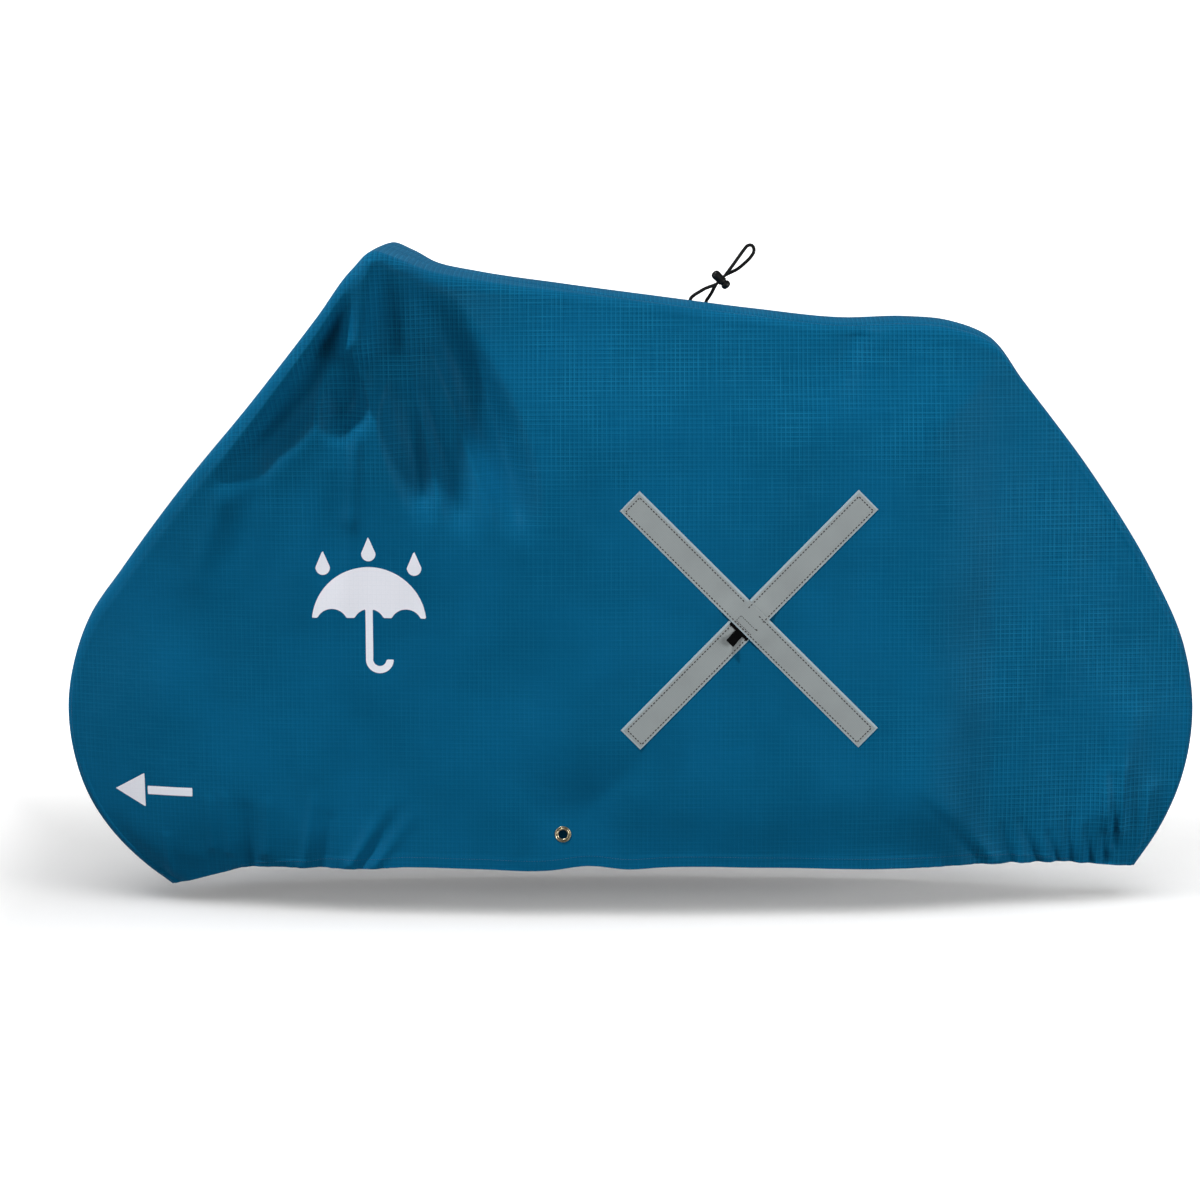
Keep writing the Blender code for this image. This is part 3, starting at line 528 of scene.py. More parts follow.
def tube_mesh(name, path, radii, sides):
    """A closed round tube along a path, with turns and length as its UVs."""
    tangents = np.gradient(path, axis=0)
    tangents /= np.linalg.norm(tangents, axis=1, keepdims=True)
    side = np.cross(tangents[0], (0.0, 1.0, 0.0))
    angles = np.linspace(0, 2 * math.pi, sides + 1)
    points, uvs = [], []
    for place, tangent, at, radius in zip(path, tangents, lengths_along(path), radii):
        side = side - tangent * side.dot(tangent)
        side /= np.linalg.norm(side)
        other = np.cross(tangent, side)
        for angle in angles:
            points.append(place + radius * (math.cos(angle) * side + math.sin(angle) * other))
            uvs.append((angle / (2 * math.pi), at))
    faces = grid_faces(len(path), sides + 1)[:, :, ::-1].reshape(-1, 4)
    mesh = mesh_of(name, points, faces, uvs)
    bm = bmesh.new()
    bm.from_mesh(mesh)
    bmesh.ops.remove_doubles(bm, verts=bm.verts, dist=1e-6)
    bmesh.ops.holes_fill(bm, edges=[edge for edge in bm.edges if edge.is_boundary])
    return faced_out(bm, mesh, 50)


def turned_mesh(name, outline, steps=72, sharp=35):
    """A solid turned about local Z from a closed or axis-to-axis outline."""
    bm = bmesh.new()
    rings = []
    for radius, z in outline:
        if radius == 0:
            rings.append([bm.verts.new((0, 0, z))] * steps)
            continue
        angles = [2 * math.pi * i / steps for i in range(steps)]
        rings.append(
            [bm.verts.new((radius * math.cos(a), radius * math.sin(a), z)) for a in angles]
        )
    pairs = list(zip(rings, rings[1:]))
    if outline[0][0] > 0:
        pairs.append((rings[-1], rings[0]))
    for low, high in pairs:
        for i in range(steps):
            j = (i + 1) % steps
            bm.faces.new(list(dict.fromkeys([low[i], low[j], high[j], high[i]])))
    return faced_out(bm, bpy.data.meshes.new(name), sharp)


def stitch_mesh(name, runs, length, width, height, pitch):
    """Short rounded threads along runs of points, each run with its normals."""
    stations = ((-0.5, 0.12), (-0.36, 0.7), (0.0, 1.0), (0.36, 0.7), (0.5, 0.12))
    around = [(math.cos(a), math.sin(a)) for a in np.radians([0, 45, 90, 135, 180, 270])]
    points, faces = [], []
    for path, normals in runs:
        along = lengths_along(path)
        count = max(int(round(along[-1] / pitch)), 1)
        for n in range(count):
            at = (n + 0.5) * along[-1] / count
            middle, ahead, up = (
                np.array([np.interp(spot, along, axis) for axis in values.T])
                for spot, values in ((at, path), (at + 1e-4, path), (at, normals))
            )
            forward = ahead - middle
            forward /= np.linalg.norm(forward)
            up = up - forward * up.dot(forward)
            up /= np.linalg.norm(up)
            across = np.cross(up, forward)
            first = len(points)
            for share, girth in stations:
                for c, s in around:
                    offset = across * (c * width / 2 * girth) + up * (s * height * girth)
                    points.append(middle + forward * share * length + offset)
            ring = len(around)
            for k in range(len(stations) - 1):
                for i in range(ring):
                    j = (i + 1) % ring
                    a, b = first + k * ring, first + (k + 1) * ring
                    faces.append((a + i, a + j, b + j, b + i))
            last = first + (len(stations) - 1) * ring
            faces.append(tuple(first + i for i in range(ring))[::-1])
            faces.append(tuple(last + i for i in range(ring)))
    return mesh_of(name, points, faces)


# Materials


class Surface:
    """A Principled material that is built up socket by socket."""

    def __init__(self, name, **constants):
        self.material = bpy.data.materials.new(name)
        self.material.use_nodes = True
        self.tree = self.material.node_tree
        self.shader = self.tree.nodes["Principled BSDF"]
        for socket, value in constants.items():
            self.shader.inputs[socket.replace("_", " ")].default_value = value

    def feed(self, socket, value):
        if hasattr(value, "links"):
            self.tree.links.new(value, socket)
        else:
            socket.default_value = value

    def node(self, kind, output=0, inputs=(), **settings):
        node = self.tree.nodes.new(kind)
        for name, value in settings.items():
            setattr(node, name, value)
        for key, value in dict(inputs).items():
            self.feed(node.inputs[key], value)
        return node.outputs[output]

    def math(self, operation, a, b=0.0, c=0.0):
        return self.node("ShaderNodeMath", inputs={0: a, 1: b, 2: c}, operation=operation)

    def step(self, value, low, high):
        """A smooth step from 0 at low to 1 at high, also where high is the smaller."""
        inputs = {0: value, 1: low, 2: high}
        return self.node("ShaderNodeMapRange", inputs=inputs, interpolation_type="SMOOTHSTEP")

    def noise(self, vector, scale, detail=2.0, roughness=0.5):
        inputs = {"Vector": vector, "Scale": scale, "Detail": detail, "Roughness": roughness}
        return self.node("ShaderNodeTexNoise", inputs=inputs)

    def mix(self, factor, a, b):
        inputs = {0: factor, 6: a, 7: b}
        return self.node("ShaderNodeMix", output=2, inputs=inputs, data_type="RGBA")

    def split(self, vector):
        """The three coordinates of a vector."""
        parts = self.tree.nodes.new("ShaderNodeSeparateXYZ")
        self.feed(parts.inputs[0], vector)
        return parts.outputs

    def uv(self):
        """The two coordinates of the weave, in metres, and both as a vector."""
        vector = self.node("ShaderNodeUVMap", uv_map="weave")
        u, v, _ = self.split(vector)
        return u, v, vector

    def place(self):
        return self.node("ShaderNodeTexCoord", output="Object")

    def lines(self, coordinate, pitch, width):
        """1 on thin lines across a coordinate, 0 between them."""
        away = self.math("PINGPONG", coordinate, pitch / 2)
        return self.step(away, width, 0.0)

    def grid(self, u, v, pitch, width):
        """1 on thin lines both ways."""
        return self.math("MAXIMUM", self.lines(u, pitch, width), self.lines(v, pitch, width))

    def bump(self, height, distance=1.0):
        inputs = {"Height": height, "Distance": distance}
        return self.node("ShaderNodeBump", inputs=inputs)

    def set(self, **sockets):
        for name, value in sockets.items():
            self.feed(self.shader.inputs[name.replace("_", " ")], value)
        return self.material


RIPSTOP_PITCH, RIPSTOP_LINE = 0.0078, 0.0011
RIPSTOP_GAP, GAP_LINE = 0.37, 0.0010  # dark gaps: how far on as a share of the pitch
FINE_PITCH, FINE_LINE = 0.0031, 0.0008
WEAVE_BEAT = 9000.0  # radians per metre of the plain weave
CLOTH_BLUE = (0.0027, 0.114, 0.246, 1)
# CLOTH_LINE is the lighter colour of the yarns, a painted highlight
CLOTH_LINE = (0.0090, 0.195, 0.375, 1)
CLOTH_SHADE = (0.0021, 0.100, 0.214, 1)
CLOTH_GAP = (0.0012, 0.062, 0.135, 1)


def ripstop():
    """Coated ripstop: a grid of raised double yarns over a fine plain weave, where
    some yarns catch the light over a long way and others hardly show. That catch of
    the light is a painted highlight: those yarns are coloured lighter."""
    s = Surface(
        "Ripstop cloth", IOR=1.18, Diffuse_Roughness=0.6, Specular_Tint=(0.16, 0.62, 0.95, 1)
    )
    u, v, weave = s.uv()

    def yarns(across, along, pitch, width):
        lines = s.lines(across, pitch, width)
        parts = {0: s.math("MULTIPLY", across, 1.0 / pitch), 1: s.math("MULTIPLY", along, 9.0)}
        spread = s.noise(s.node("ShaderNodeCombineXYZ", inputs=parts), 1.0, 1.0)
        return lines, s.math("MULTIPLY", lines, s.step(spread, 0.28, 0.62))

    grids = [yarns(u, v, RIPSTOP_PITCH, RIPSTOP_LINE), yarns(v, u, RIPSTOP_PITCH, RIPSTOP_LINE)]
    fines = [yarns(u, v, FINE_PITCH, FINE_LINE), yarns(v, u, FINE_PITCH, FINE_LINE)]
    grid, bright = (s.math("MAXIMUM", a, b) for a, b in zip(*grids))
    fine, glint = (s.math("MAXIMUM", a, b) for a, b in zip(*fines))
    shifted = (s.math("ADD", way, RIPSTOP_PITCH * RIPSTOP_GAP) for way in (u, v))
    gap = s.grid(*shifted, RIPSTOP_PITCH, GAP_LINE)
    wave = [s.math("SINE", s.math("MULTIPLY", way, WEAVE_BEAT)) for way in (u, v)]
    yarn = s.math("MULTIPLY", *wave)
    # painted highlight: the lighter yarns show in patches, more toward the top and the rear, most
    # on the shoulder's crest, where the light falls; the dark gaps beside them follow the same
    # mask
    patches = s.step(s.noise(weave, 8.0, 3.0, 0.6), 0.36, 0.66)
    yarn_highlight = s.math("MAXIMUM", s.step(v, 0.55, 0.98), s.step(u, 0.70, 1.25))
    crest = s.math("MULTIPLY", s.step(v, 1.02, 1.20), s.step(u, 0.01, -0.03))
    yarn_highlight = s.math("MULTIPLY_ADD", crest, 1.8, yarn_highlight)
    share = s.math("MULTIPLY_ADD", patches, 0.40, 0.40)
    share = s.math("MULTIPLY", share, s.math("MULTIPLY_ADD", yarn_highlight, 0.75, 0.32))
    shown = s.math("MULTIPLY", s.math("ADD", bright, s.math("MULTIPLY", glint, 0.5)), share)
    tone = s.mix(s.step(s.noise(weave, 5.0, 2.0), 0.35, 0.65), CLOTH_BLUE, CLOTH_SHADE)
    tone = s.mix(s.math("MULTIPLY", gap, s.math("MULTIPLY", share, 1.2)), tone, CLOTH_GAP)
    crumple = s.noise(weave, 34.0, 4.0, 0.55)
    height = s.math("MULTIPLY_ADD", grid, 0.00007, s.math("MULTIPLY", fine, 0.00003))
    height = s.math("MULTIPLY_ADD", yarn, 0.000012, height)
    height = s.math("MULTIPLY_ADD", crumple, 0.0008, height)
    rough = s.math("MULTIPLY_ADD", shown, -0.08, s.math("MULTIPLY_ADD", crumple, 0.10, 0.42))
    colour = s.mix(shown, tone, CLOTH_LINE)
    return s.set(Base_Color=colour, Roughness=rough, Normal=s.bump(height))


def reflective_tape():
    """Grey retroreflective tape with a faint cell pattern, and a pale painted
    highlight along its edges.
    """
    s = Surface("Reflective tape", Specular_IOR_Level=0.5, Coat_Weight=0.12, Coat_Roughness=0.3)
    u, v, weave = s.uv()
    # the rim attribute marks the pale painted highlight along the tape's edges
    rim = s.node("ShaderNodeAttribute", output="Fac", attribute_name="rim")
    cells = s.grid(u, v, 0.0030, 0.0006)
    grain = s.noise(weave, 420.0, 3.0)
    soil = s.step(s.noise(weave, 16.0, 4.0), 0.35, 0.75)
    grey = s.mix(soil, (0.290, 0.324, 0.329, 1), (0.262, 0.292, 0.297, 1))
    grey = s.mix(s.math("MULTIPLY", cells, 0.24), grey, (0.40, 0.43, 0.44, 1))
    grey = s.mix(s.math("MULTIPLY", grain, 0.12), grey, (0.15, 0.16, 0.16, 1))
    colour = s.mix(rim, grey, (0.330, 0.425, 0.470, 1))
    height = s.math("MULTIPLY_ADD", cells, 0.00004, s.math("MULTIPLY", grain, 0.00003))
    rough = s.math("MULTIPLY_ADD", grain, 0.12, 0.36)
    return s.set(Base_Color=colour, Roughness=rough, Normal=s.bump(height))


def webbing():
    """Black woven webbing: ribs along it, crossed by a fine weft."""
    s = Surface("Black webbing", Specular_IOR_Level=0.05)
    u, v, weave = s.uv()
    ribs = s.math("SINE", s.math("MULTIPLY", u, 5200.0))
    weft = s.math("SINE", s.math("MULTIPLY", v, 4200.0))
    height = s.math("MULTIPLY_ADD", ribs, 0.00009, s.math("MULTIPLY", weft, 0.00005))
    lint = s.noise(weave, 300.0, 4.0)
    colour = s.mix(lint, (0.0006, 0.0006, 0.0008, 1), (0.0025, 0.0025, 0.0028, 1))
    return s.set(Base_Color=colour, Roughness=0.85, Normal=s.bump(height))


def print_ink():
    """White screen print, thinned by wear over the raised yarns."""
    s = Surface("White print", Specular_IOR_Level=0.35)
    u, v, weave = s.uv()
    grid = s.grid(u, v, RIPSTOP_PITCH, RIPSTOP_LINE)
    wear = s.math("MULTIPLY", s.noise(weave, 260.0, 4.0), s.math("MULTIPLY_ADD", grid, 0.12, 0.16))
    colour = s.mix(wear, (0.88, 0.89, 0.96, 1), (0.55, 0.64, 0.76, 1))
    height = s.math("MULTIPLY", grid, 0.00007)
    return s.set(Base_Color=colour, Roughness=0.55, Normal=s.bump(height))


def thread(name, colour, dark):
    s = Surface(name, Sheen_Weight=0.15)
    inputs = {"Vector": s.place(), "Scale": 700.0, "Distortion": 1.5}
    twist = s.node("ShaderNodeTexWave", inputs=inputs)
    tint = s.mix(s.noise(s.place(), 500.0), colour, dark)
    return s.set(Base_Color=tint, Roughness=0.6, Normal=s.bump(twist, 0.0001))


def aged_brass():
    """Rolled brass with a fine grain and dark tarnish in patches."""
    s = Surface("Aged brass", Metallic=1.0)
    spots = s.step(s.noise(s.place(), 260.0, 5.0), 0.40, 0.68)
    fine = s.noise(s.place(), 1500.0, 3.0)
    colour = s.mix(spots, (0.66, 0.58, 0.42, 1), (0.30, 0.25, 0.14, 1))
    rough = s.math("MULTIPLY_ADD", fine, 0.14, s.math("MULTIPLY_ADD", spots, 0.16, 0.20))
    return s.set(Base_Color=colour, Roughness=rough, Normal=s.bump(fine, 0.00006))


def braided_cord():
    """Black braided elastic: two sets of yarns wound both ways round it."""
    s = Surface("Braided cord", Specular_IOR_Level=0.2, Sheen_Weight=0.1, Sheen_Roughness=0.5)
    u, v, _ = s.uv()
    turn = s.math("MULTIPLY", u, 8.0)
    rise = s.math("MULTIPLY", v, 560.0)
    one = s.math("PINGPONG", s.math("ADD", rise, turn), 0.5)
    other = s.math("PINGPONG", s.math("SUBTRACT", rise, turn), 0.5)
    braid = s.math("MAXIMUM", one, other)
    colour = s.mix(braid, (0.0008, 0.0008, 0.0010, 1), (0.0045, 0.0045, 0.0052, 1))
    return s.set(Base_Color=colour, Roughness=0.72, Normal=s.bump(braid, 0.0006))


def lock_plastic():
    """Black moulded plastic with a fine spark-eroded grain and scuffed patches."""
    s = Surface("Lock plastic", Specular_IOR_Level=0.3)
    grain = s.noise(s.place(), 1800.0, 3.0)
    scuff = s.step(s.noise(s.place(), 140.0, 5.0), 0.50, 0.74)
    colour = s.mix(scuff, (0.0035, 0.0035, 0.0038, 1), (0.009, 0.009, 0.0095, 1))
    rough = s.math("MULTIPLY_ADD", scuff, 0.16, s.math("MULTIPLY_ADD", grain, 0.10, 0.30))
    return s.set(Base_Color=colour, Roughness=rough, Normal=s.bump(grain, 0.00012))


# The camera, the light and the ground


def add_camera():
    camera = bpy.data.objects.new("Camera", bpy.data.cameras.new("Camera"))
    bpy.context.scene.collection.objects.link(camera)
    camera.data.sensor_width = SENSOR
    camera.data.lens = SENSOR * VIEW_DISTANCE / VIEW_WIDTH
    x, y, height = VIEW_TARGET
    target = Vector((x, y, height - HELD_HEIGHT))
    angle = math.radians(VIEW_ELEVATION)
    away = Vector((0, -math.cos(angle), math.sin(angle)))
    camera.location = target + VIEW_DISTANCE * away
    camera.rotation_euler = away.to_track_quat("Z", "Y").to_euler()
    bpy.context.scene.camera = camera


# Lamps that aren't glossy don't show in shiny surfaces. floor is EXCLUDE for a lamp that
# leaves the floor out, and INCLUDE for one that lights nothing else.
Lamp = namedtuple("Lamp", "name place aim power width height glossy floor")
LAMPS = [
    Lamp("Key", (-2.60, -2.97, 7.415), (0.37, 0, -0.55), 735, 0.5, 0.5, True, "EXCLUDE"),
    Lamp("Overhead", (0.40, -2.6, 3.2), (0.40, -2.6, 0.0), 330, 7.0, 6.5, True, "INCLUDE"),
    Lamp("Left box", (-2.9, 0.9, 0.35), (-0.3, 0, -0.5), 8, 0.9, 2.2, False, None),
    Lamp("Right box", (3.9, 0.9, 0.25), (1.2, 0, -0.6), 12, 0.9, 2.2, False, None),
    Lamp("Right fill", (5.2, -3.4, -0.3), (0.9, 0, -0.55), 190, 3.0, 2.0, True, None),
    Lamp("Left fill", (-4.4, -3.4, -0.3), (-0.3, 0, -0.55), 110, 2.0, 2.0, True, None),
    Lamp("Front fill", (0.4, -7.0, 1.2), (0.4, 0, -0.4), 8, 3.0, 2.0, True, None),
    Lamp("Back fill", (0.4, 6.8, 0.1), (0.4, 0, -0.5), 70, 4.0, 2.0, False, "EXCLUDE"),
]
SKY_TOP, SKY_SIDE, SKY_BELOW = 0.07, 0.17, 0.15
BACKDROP, GROUND_GLOW = 1.0, 0.15  # painted light: floor glow added away from the cover, and all over, which bounds and lightens the cover's shadow
FLOOR_REACH, FLOOR_BEND, FLOOR_RISE = 10.0, 1.5, 7.0  # its flat part, bend and rim
FLOOR_SIDES, BEND_STEPS = 96, 16


def add_light(lamp):
    data = bpy.data.lights.new(lamp.name, "AREA")
    data.shape = "RECTANGLE"
    data.size, data.size_y = lamp.width, lamp.height
    data.energy = lamp.power
    light = bpy.data.objects.new(lamp.name, data)
    light.location = lamp.place
    away = Vector(lamp.place) - Vector(lamp.aim)
    light.rotation_euler = away.to_track_quat("Z", "Y").to_euler()
    light.visible_glossy = lamp.glossy
    bpy.context.scene.collection.objects.link(light)
    return light


def floor_mesh():
    """A round floor that sweeps up at its rim."""
    ground = -HELD_HEIGHT
    profile = [(FLOOR_REACH, ground)]
    for i in range(1, BEND_STEPS + 1):
        angle = i / BEND_STEPS * math.pi / 2
        out, up = FLOOR_BEND * math.sin(angle), FLOOR_BEND * (1 - math.cos(angle))
        profile.append((FLOOR_REACH + out, ground + up))
    profile.append((FLOOR_REACH + FLOOR_BEND, ground + FLOOR_RISE))
    angles = [2 * math.pi * i / FLOOR_SIDES for i in range(FLOOR_SIDES)]
    points = [(r * math.cos(a), r * math.sin(a), z) for r, z in profile for a in angles]
    faces = []
    for ring in range(0, (len(profile) - 1) * FLOOR_SIDES, FLOOR_SIDES):
        above = ring + FLOOR_SIDES
        for i in range(FLOOR_SIDES):
            j = (i + 1) % FLOOR_SIDES
            faces.append((ring + i, ring + j, above + j, above + i))
    middle = len(points)
    faces += [(middle, i, (i + 1) % FLOOR_SIDES) for i in range(FLOOR_SIDES)]
    return mesh_of("studio_floor", [*points, (0, 0, ground)], faces)


def floor_paint():
    """White, with painted light: a faint glow all over that lightens the cover's shadow,
    and an even glow that starts a little way from the cover on every side, where that shadow ends.
    """
    s = Surface("Studio floor", Roughness=0.9, Specular_IOR_Level=0.1)
    tint = s.mix(s.noise(s.place(), 3.0), (0.83, 0.83, 0.83, 1), (0.81, 0.81, 0.81, 1))
    x, y, _ = s.split(s.place())
    # painted light: where the floor glows fully, and so where the cover's shadow ends
    behind, front = s.step(y, 0.4, 2.0), s.step(y, -0.2, -1.2)
    left, right = s.step(x, -0.60, -1.25), s.step(x, 1.50, 2.1)
    away = s.math("MAXIMUM", s.math("MAXIMUM", behind, front), s.math("MAXIMUM", left, right))
    glow = s.math("MULTIPLY_ADD", away, BACKDROP, GROUND_GLOW)
    return s.set(Base_Color=tint, Emission_Color=(1, 1, 1, 1), Emission_Strength=glow)


def add_studio():
    """The lamps, the sky and the floor: a high key light from the front left, a wide
    softbox over the floor, a box at each end and low fills from all sides."""
    lights = [add_light(lamp) for lamp in LAMPS]
    add_sky()
    bpy.context.scene.view_settings.view_transform = "Standard"
    floor = add_object("studio_floor", floor_mesh(), floor_paint())
    floor.visible_diffuse = False
    floor.visible_glossy = False
    for lamp, light in zip(LAMPS, lights):
        if lamp.floor:
            receivers = bpy.data.collections.new(lamp.name + " receivers")
            receivers.objects.link(floor)
            receivers.collection_objects[0].light_linking.link_state = lamp.floor
            light.light_linking.receiver_collection = receivers


def add_sky():
    """A pale sky, brightest at the sides and dimmest overhead."""
    world = bpy.data.worlds.new("Studio")
    world.use_nodes = True
    tree = world.node_tree
    place = tree.nodes.new("ShaderNodeTexCoord")
    parts = tree.nodes.new("ShaderNodeSeparateXYZ")
    ramp = tree.nodes.new("ShaderNodeValToRGB")
    scale = tree.nodes.new("ShaderNodeMapRange")
    scale.inputs["From Min"].default_value = -1.0
    stops = ramp.color_ramp.elements
    stops[0].position, stops[1].position = 0.42, 0.58
    stops.new(1.0)
    for stop, level in zip(stops, (SKY_BELOW, SKY_SIDE, SKY_TOP)):
        stop.color = (level, level, level, 1)
    tree.links.new(place.outputs["Generated"], parts.inputs[0])
    tree.links.new(parts.outputs[2], scale.inputs["Value"])
    tree.links.new(scale.outputs[0], ramp.inputs[0])
    tree.links.new(ramp.outputs[0], tree.nodes["Background"].inputs[0])
    bpy.context.scene.world = world


# The drawcord and its lock

CORD = 0.0060  # diameter
CORD_STEPS, CORD_SIDES = 150, 16
SQUEEZED_CORD = 0.0046  # between the walls of the lock
SQUEEZE_REACH = (0.0085, 0.0130)  # from the lock's middle, where it widens again
CORD_Y = 0.020
STRAND = 0.0026  # from the middle of the lock to each strand
CORD_ROUTE = [
    (0.5273, -0.0060, 1.0512), (0.5285, -0.0060, 1.0548), (0.5335, -0.0058, 1.0598),
    (0.5425, -0.0052, 1.0655), (0.5530, -0.0042, 1.0715), (0.5645, -0.0032, 1.0760),
    (0.5734, -0.0026, 1.0797), (0.5770, -0.0026, 1.0833), (0.5840, -0.0026, 1.0903),
    (0.5876, -0.0026, 1.0939), (0.5945, -0.0032, 1.1030), (0.6050, -0.0036, 1.1175),
    (0.6150, -0.0030, 1.1315), (0.6215, -0.0020, 1.1402), (0.6270, -0.0010, 1.1458),
    (0.6330, 0.0000, 1.1464), (0.6372, 0.0010, 1.1418), (0.6375, 0.0020, 1.1350),
    (0.6325, 0.0030, 1.1262), (0.6210, 0.0036, 1.1145), (0.6085, 0.0036, 1.1045),
    (0.5970, 0.0030, 1.0988), (0.5876, 0.0026, 1.0939), (0.5840, 0.0026, 1.0903),
    (0.5770, 0.0026, 1.0833), (0.5734, 0.0026, 1.0797), (0.5695, 0.0032, 1.0735),
    (0.5650, 0.0044, 1.0645), (0.5598, 0.0056, 1.0562), (0.5560, 0.0062, 1.0505),
    (0.5548, 0.0064, 1.0461),
]
LOCK = (0.5805, 1.0868)
LOCK_WAY = 0.0052  # for each strand of the cord
LOCK_BORE = 0.0066
BUTTON_STEM = 0.0063
BUTTON_TRAVEL = 0.003
LOCK_MOUTH, LOCK_FLOOR = 0.0055, -0.0088
FIT_GAP = 0.0003
LOCK_EDGE = 0.00025  # how far the edges of the way are rounded
LOCK_REACH = 0.02  # past both sides of the lock


def cord_path():
    route = np.array(CORD_ROUTE)
    length = lengths_along(route)
    places = np.linspace(0, length[-1], CORD_STEPS)
    x, y, height = (smooth(length, axis, places) for axis in route.T)
    return np.column_stack([x, y + CORD_Y, height - HELD_HEIGHT])


def build_cord(material):
    path = cord_path()
    away = np.linalg.norm(path - (LOCK[0], CORD_Y, LOCK[1] - HELD_HEIGHT), axis=1)
    radii = (SQUEEZED_CORD + (CORD - SQUEEZED_CORD) * ease(away, *SQUEEZE_REACH)) / 2
    mesh = tube_mesh("drawcord_braid", path, radii, CORD_SIDES)
    return claim(add_object("drawcord_braid", mesh, material), "cord", "drawcord"), path


def cut_by_block(piece, low, high, frame):
    """Cuts the way for both strands through a piece of the lock, and applies it."""
    bm = bmesh.new()
    size = Vector(high) - Vector(low)
    place = Matrix.Translation((Vector(high) + Vector(low)) / 2) @ Matrix.Diagonal((*size, 1))
    bmesh.ops.create_cube(bm, size=1, matrix=place)
    mesh = bpy.data.meshes.new("way")
    bm.to_mesh(mesh)
    bm.free()
    cutter = bpy.data.objects.new("way", mesh)
    cutter.matrix_world = frame
    bpy.context.scene.collection.objects.link(cutter)
    boolean = piece.modifiers.new("Way", "BOOLEAN")
    boolean.object = cutter
    bevel = piece.modifiers.new("Edges", "BEVEL")
    bevel.width = LOCK_EDGE
    bevel.segments = 2
    bevel.limit_method = "ANGLE"
    bevel.angle_limit = math.radians(50)
    bpy.context.view_layer.update()
    graph = bpy.context.evaluated_depsgraph_get()
    cut = bpy.data.meshes.new_from_object(piece.evaluated_get(graph))
    piece.modifiers.clear()
    piece.data = cut
    bpy.data.objects.remove(cutter)


def build_lock(material):
    """The barrel, with a groove and a rim at its mouth, and the button with its head."""
    frame = Matrix.Translation((LOCK[0], CORD_Y, LOCK[1] - HELD_HEIGHT))
    frame = frame @ Matrix.Rotation(math.radians(135), 4, "Y")
    side = LOCK_WAY / 2
    wide = STRAND + side
    barrel = [
        (0, -0.0185), (0.0020, -0.01845), (0.0036, -0.0181), (0.0051, -0.0174),
        (0.0062, -0.0165), (0.0071, -0.0153), (0.0077, -0.0138), (0.0080, -0.0122),
        (0.0081, -0.0105), (0.0079, -0.0070), (0.0078, -0.0050), (0.0077, 0.0012),
        (0.0074, 0.0015), (0.0074, 0.0021), (0.0078, 0.0024), (0.0079, 0.0046),
        (0.0077, 0.0052), (0.0073, LOCK_MOUTH), (LOCK_BORE, LOCK_MOUTH),
        (LOCK_BORE, LOCK_FLOOR), (0, LOCK_FLOOR),
    ]
    head = LOCK_MOUTH + BUTTON_TRAVEL + FIT_GAP
    button = [
        (0, -0.0052), (BUTTON_STEM - 0.0005, -0.0052), (BUTTON_STEM, -0.0047),
        (BUTTON_STEM, head), (0.0072, head), (0.0079, head + 0.0005),
        (0.0082, head + 0.0014), (0.0082, head + 0.0040), (0.0080, head + 0.0054),
        (0.0075, head + 0.0068), (0.0066, head + 0.0081), (0.0055, head + 0.0089),
        (0.0050, head + 0.0090), (0.0047, head + 0.0088), (0.0043, head + 0.0090),
        (0.0026, head + 0.0098), (0, head + 0.0100),
    ]
    pieces = []
    for name, node, outline, body, travel in (
        ("lock_barrel", "cord_lock_body", barrel, COVER, 0.0),
        ("lock_button", "cord_lock_button", button, BUTTON, BUTTON_TRAVEL),
    ):
        piece = add_object(name, turned_mesh(name, outline), material)
        piece.matrix_world = frame
        low, high = (-LOCK_REACH, -wide, -side), (LOCK_REACH, wide, side + travel)
        cut_by_block(piece, low, high, frame)
        pieces.append(claim(piece, "lock_plastic", node, body=body))
    return pieces


# The cloth


def build_cloth(material, thread_material):
    """Both panels, the gusset, and the stitching of the seams and the hem."""
    points, normals, weave = skin()
    far_seam = PANEL_ROWS
    near_seam = PANEL_ROWS + GUSSET_ROWS
    last = near_seam + PANEL_ROWS

    rows = slice(0, far_seam + 1)
    far = drawn_back(points[:, rows], -1, -2)
    far = add_cloth(
        "panel_far", far, normals[:, rows], weave[:, rows], material, "side_panel_far"
    )

    rows = slice(far_seam, near_seam + 1)
    strip = drawn_back(drawn_back(points[:, rows], 0, 1), -1, -2)
    ridge = points[:, (far_seam + near_seam) // 2]
    along = np.repeat(lengths_along(ridge)[:, None], strip.shape[1], axis=1)
    steps = np.diff(strip, axis=1, prepend=strip[:, :1])
    across = np.linalg.norm(steps, axis=2).cumsum(axis=1)
    run = np.stack([along, across], axis=2)
    gusset = add_cloth("gusset", strip, normals[:, rows], run, material, "centre_gusset")

    rows = slice(near_seam, None)
    near = drawn_back(points[:, rows], 0, 1)
    middle = np.array([EYELET_FLAT.x, -EYELET_FLAT.out, EYELET_FLAT.height - HELD_HEIGHT])
    centres = (near[:-1, :-1] + near[1:, 1:]) / 2
    keep = np.linalg.norm(centres - middle, axis=2) > EYELET_CUT
    near = add_cloth(
        "panel_near", near, normals[:, rows], weave[:, rows], material,
        "side_panel_near", "eyelet_strip", keep=keep,
    )

    threads = []
    for name, edges, distance, length, pitch in (
        ("seam_stitching", ((far_seam, -1), (near_seam, 1)), SEAM_STITCH, 0.0031, 0.0042),
        ("hem_stitching", ((0, 1), (last, -1)), HEM_BAND - HEM_STITCH, 0.0033, 0.0045),
    ):
        runs = [beside(points, normals, row, inward, distance) for row, inward in edges]
        mesh = stitch_mesh(name, runs, length, *THREAD, pitch)
        threads.append(claim(add_object(name, mesh, thread_material), "ripstop"))
    return near, far, gusset, *threads


